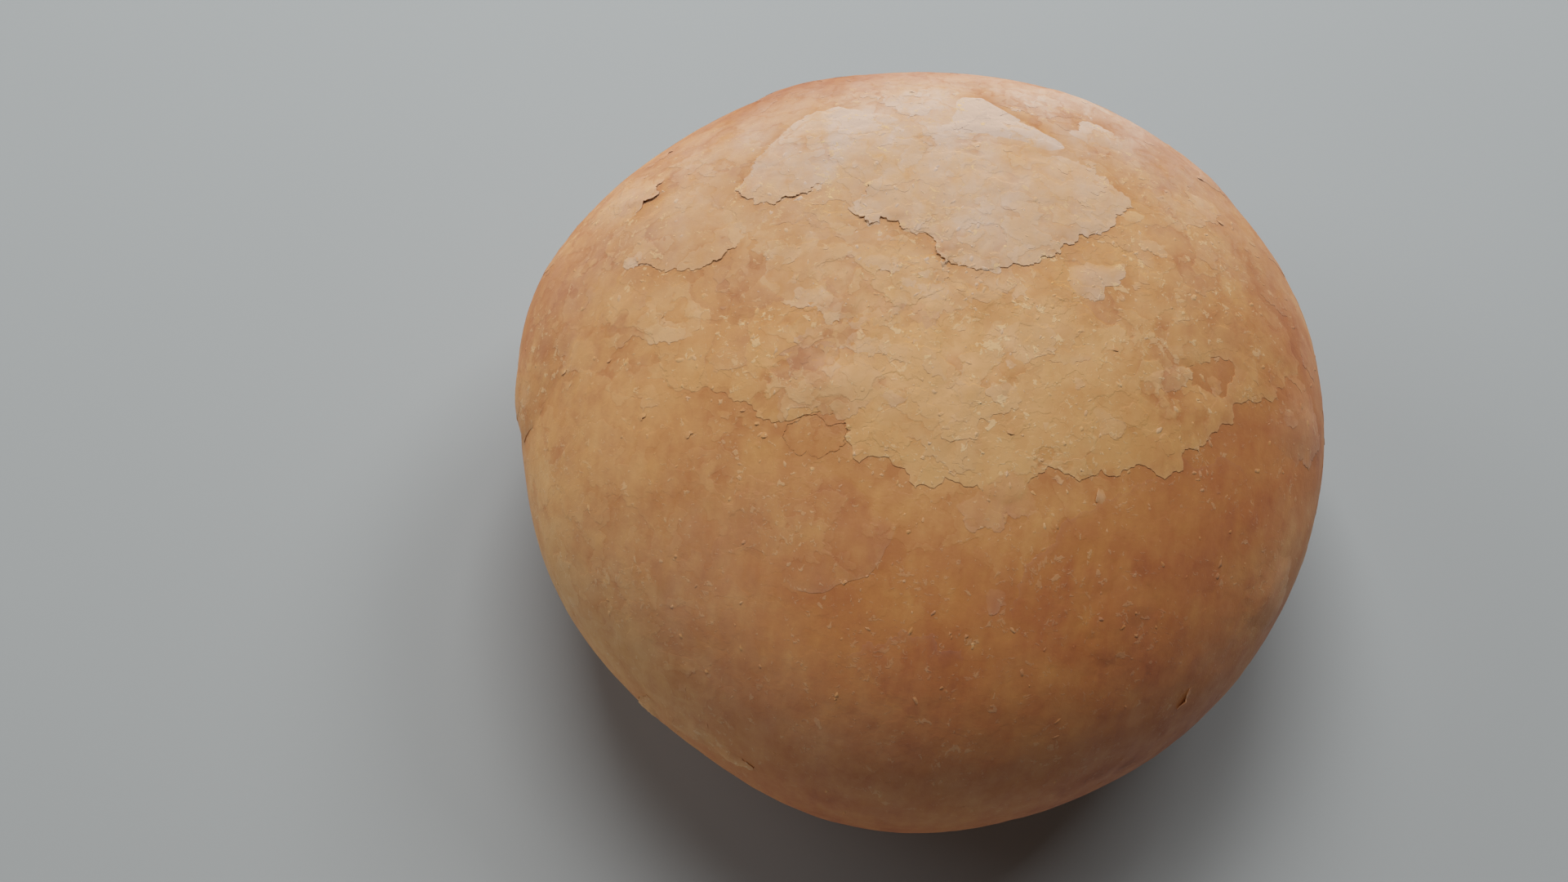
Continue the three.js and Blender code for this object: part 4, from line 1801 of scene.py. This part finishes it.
        # Relief too fine for the meshes.
        tops = (layer["Left"] for layer in layers)
        relief = bench.weighted(*zip(tops, self.layer_height))
        height = bench.weighted(*zip((fine, mottle), self.grain_height))
        height = bench.plus(height, bench.times(relief, dryness))
        height = bench.plus(height, bench.times(bench.plus(flecks, dust), self.crumb_height))
        wires = {"Strength": self.bump, "Distance": self.bump_height, "Height": bench.minus(height, pits)}
        normal = bench.add("ShaderNodeBump", wires).outputs["Normal"]
        least, most = self.rough_levels
        low, high = self.roughness
        wires = {0: mottle, 1: least, 2: most, 3: low, 4: high}
        rough = bench.add("ShaderNodeMapRange", wires).outputs[0]
        bench.surface(
            {
                "Base Color": colour,
                "Roughness": rough,
                "Normal": normal,
                "Diffuse Roughness": 1.0,
                "Sheen Weight": self.sheen,
                "Sheen Roughness": self.sheen_roughness,
                "Sheen Tint": self.sheen_tint,
            }
        )
        return material


@dataclass(frozen=True)
class FloorFinish:
    """Plain pale matt paper."""

    tint: Colour = (0.415, 0.435, 0.44)
    darkest: float = 0.97
    cloud_scale: float = 14.0
    roughness: float = 0.85

    def build(self) -> bpy.types.Material:
        """Makes the material.

        Returns:
            The material.
        """
        material, bench = new_material("pale_floor")
        place = bench.add("ShaderNodeTexCoord").outputs["Object"]
        shade = tuple(self.darkest * value for value in self.tint)
        colour = bench.blend(bench.noise(place, self.cloud_scale), shade, self.tint)
        bench.surface({"Base Color": colour, "Roughness": self.roughness})
        return material


# ---------------------------------------------------------------------------------------------------
# The studio
# ---------------------------------------------------------------------------------------------------


@dataclass(frozen=True)
class SoftLight:
    """A large soft light: the way to it in degrees, its distance and size in metres, its power in watts."""

    name: str
    azimuth: float
    rise: float
    power: float
    distance: float = 0.8
    size: Span = (0.5, 0.4)
    colour: Colour = (1.0, 1.0, 1.0)

    def build(self) -> None:
        """Makes the light, turned towards the roll."""
        light = bpy.data.lights.new(self.name, "AREA")
        light.shape = "RECTANGLE"
        light.size, light.size_y = self.size
        light.energy = self.power
        light.color = self.colour
        lamp = placed(self.name, light)
        away = Vector(direction(self.azimuth, 90.0 - self.rise))
        lamp.location = away * self.distance
        lamp.rotation_euler = away.to_track_quat("Z", "Y").to_euler()


@dataclass(frozen=True)
class Studio:
    """The floor, the soft lights, the room's light, and the camera. Metres and degrees."""

    floor_size: float = 6.0
    room_colour: Colour = (0.85, 0.92, 1.0)
    room_strength: float = 0.012
    lights: tuple[SoftLight, ...] = (
        SoftLight("window", 106.0, 62.0, 2.78, distance=0.62, size=(0.34, 0.28)),
        SoftLight("far right", 52.0, 50.0, 1.56, size=(0.3, 0.24)),
        SoftLight("left", 172.0, 33.0, 0.99),
        SoftLight("low front", -114.0, 7.0, 1.92, size=(1.2, 0.1), colour=(0.97, 0.86, 0.72)),
    )
    lens: float = 35.0
    sensor: float = 36.0
    camera_elevation: float = 62.0
    camera_distance: float = 0.1984
    aim_height: float = 0.025
    camera_pitch: float = 63.06
    camera_yaw: float = 10.61

    def build_floor(self, finish: FloorFinish) -> Piece:
        """Makes the floor.

        Args:
            finish: What it is made of.

        Returns:
            The floor.
        """
        half = self.floor_size / 2
        mesh = bpy.data.meshes.new("floor")
        corners = [(-half, -half, 0.0), (half, -half, 0.0), (half, half, 0.0), (-half, half, 0.0)]
        mesh.from_pydata(corners, [], [(0, 1, 2, 3)])
        mesh.materials.append(finish.build())
        return placed("floor", mesh)

    def build_lights(self) -> None:
        """Makes the room's even light and the soft lights."""
        scene = bpy.context.scene
        scene.world = bpy.data.worlds.new("room")
        scene.world.use_nodes = True
        room = scene.world.node_tree.nodes["Background"]
        room.inputs["Color"].default_value = (*self.room_colour, 1.0)
        room.inputs["Strength"].default_value = self.room_strength
        for light in self.lights:
            light.build()
        scene.view_settings.view_transform = "Standard"

    def build_camera(self, hub: Array) -> None:
        """Makes the camera.

        Args:
            hub: The middle of the roll's waist in millimetres, which the camera is placed by.
        """
        lens = bpy.data.cameras.new("camera")
        lens.lens = self.lens
        lens.sensor_width = self.sensor
        camera = placed("camera", lens)
        rise = math.radians(self.camera_elevation)
        camera.location = (
            hub[0] * MM,
            hub[1] * MM - self.camera_distance * math.cos(rise),
            self.aim_height + self.camera_distance * math.sin(rise),
        )
        turn = math.radians(90.0 - self.camera_pitch), 0.0, math.radians(self.camera_yaw)
        camera.rotation_euler = turn
        bpy.context.scene.camera = camera


# ---------------------------------------------------------------------------------------------------
# Putting it together
# ---------------------------------------------------------------------------------------------------


def dress(piece: Piece, material: bpy.types.Material, replaced: Iterable[str] = ()) -> None:
    """Gives a piece its finish and its place in the frame.

    Args:
        piece: The piece.
        material: Its material.
        replaced: The CAD nodes that it stands for.
    """
    piece.data.materials.append(material)
    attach(piece, BODY)
    for node in replaced:
        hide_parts(node)
    log.info("%s: %d triangles", piece.name, len(piece.data.polygons))


def main() -> None:
    """Builds the roll and its studio."""
    logging.basicConfig(level=logging.INFO, format="%(name)s: %(message)s")
    draw = np.random.default_rng(SEED)
    dough, toning = Dough(), Toning()
    studio = Studio()
    studio.build_camera(dough.hub)
    studio.build_lights()
    studio.build_floor(FloorFinish())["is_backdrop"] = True

    effects = Effects(torn_layers(), crumbs())
    body_finish = CrustFinish("body_crust", flaking=0.7).build(effects)
    skin_finish = CrustFinish("dry_crust").build(effects)

    low = tuple(Plate.torn(spec, draw) for spec in (*Scatter().plates(), *LOW_PLATES, *WORN_PLATES))
    high = tuple(Plate.torn(spec, draw) for spec in (*HIGH_PLATES, *(nick.spec() for nick in NICKS)))
    skin = torn_skin(dough, draw)
    flaking = Flakes(count=125, spread=(2.0, 8.0), thickness=(0.05, 0.12))
    flakes = flaking.plates(Layers(dough, (*low, skin)), draw)
    layers = Layers(dough, (*low, skin, *flakes, *high))
    scraps = Flakes(count=260, spread=(0.5, 2.4), thickness=(0.05, 0.09), corners=7).plates(layers, draw)
    slabs = SlabMaker(dough, toning, layers)

    dress(DoughBody(dough, toning, layers).build(), body_finish, [NODE])
    for piece in FlakedSkin(slabs, skin, (*low, *high), flakes, scraps).build():
        dress(piece, skin_finish)
    dress(Flecks(dough, toning, layers).build(draw), skin_finish)

    boxes = {"cad": cad_box, "visual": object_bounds()}
    {name: [list(corner) for corner in box] for name, box in boxes.items()}


if __name__ == "__main__":
    main()
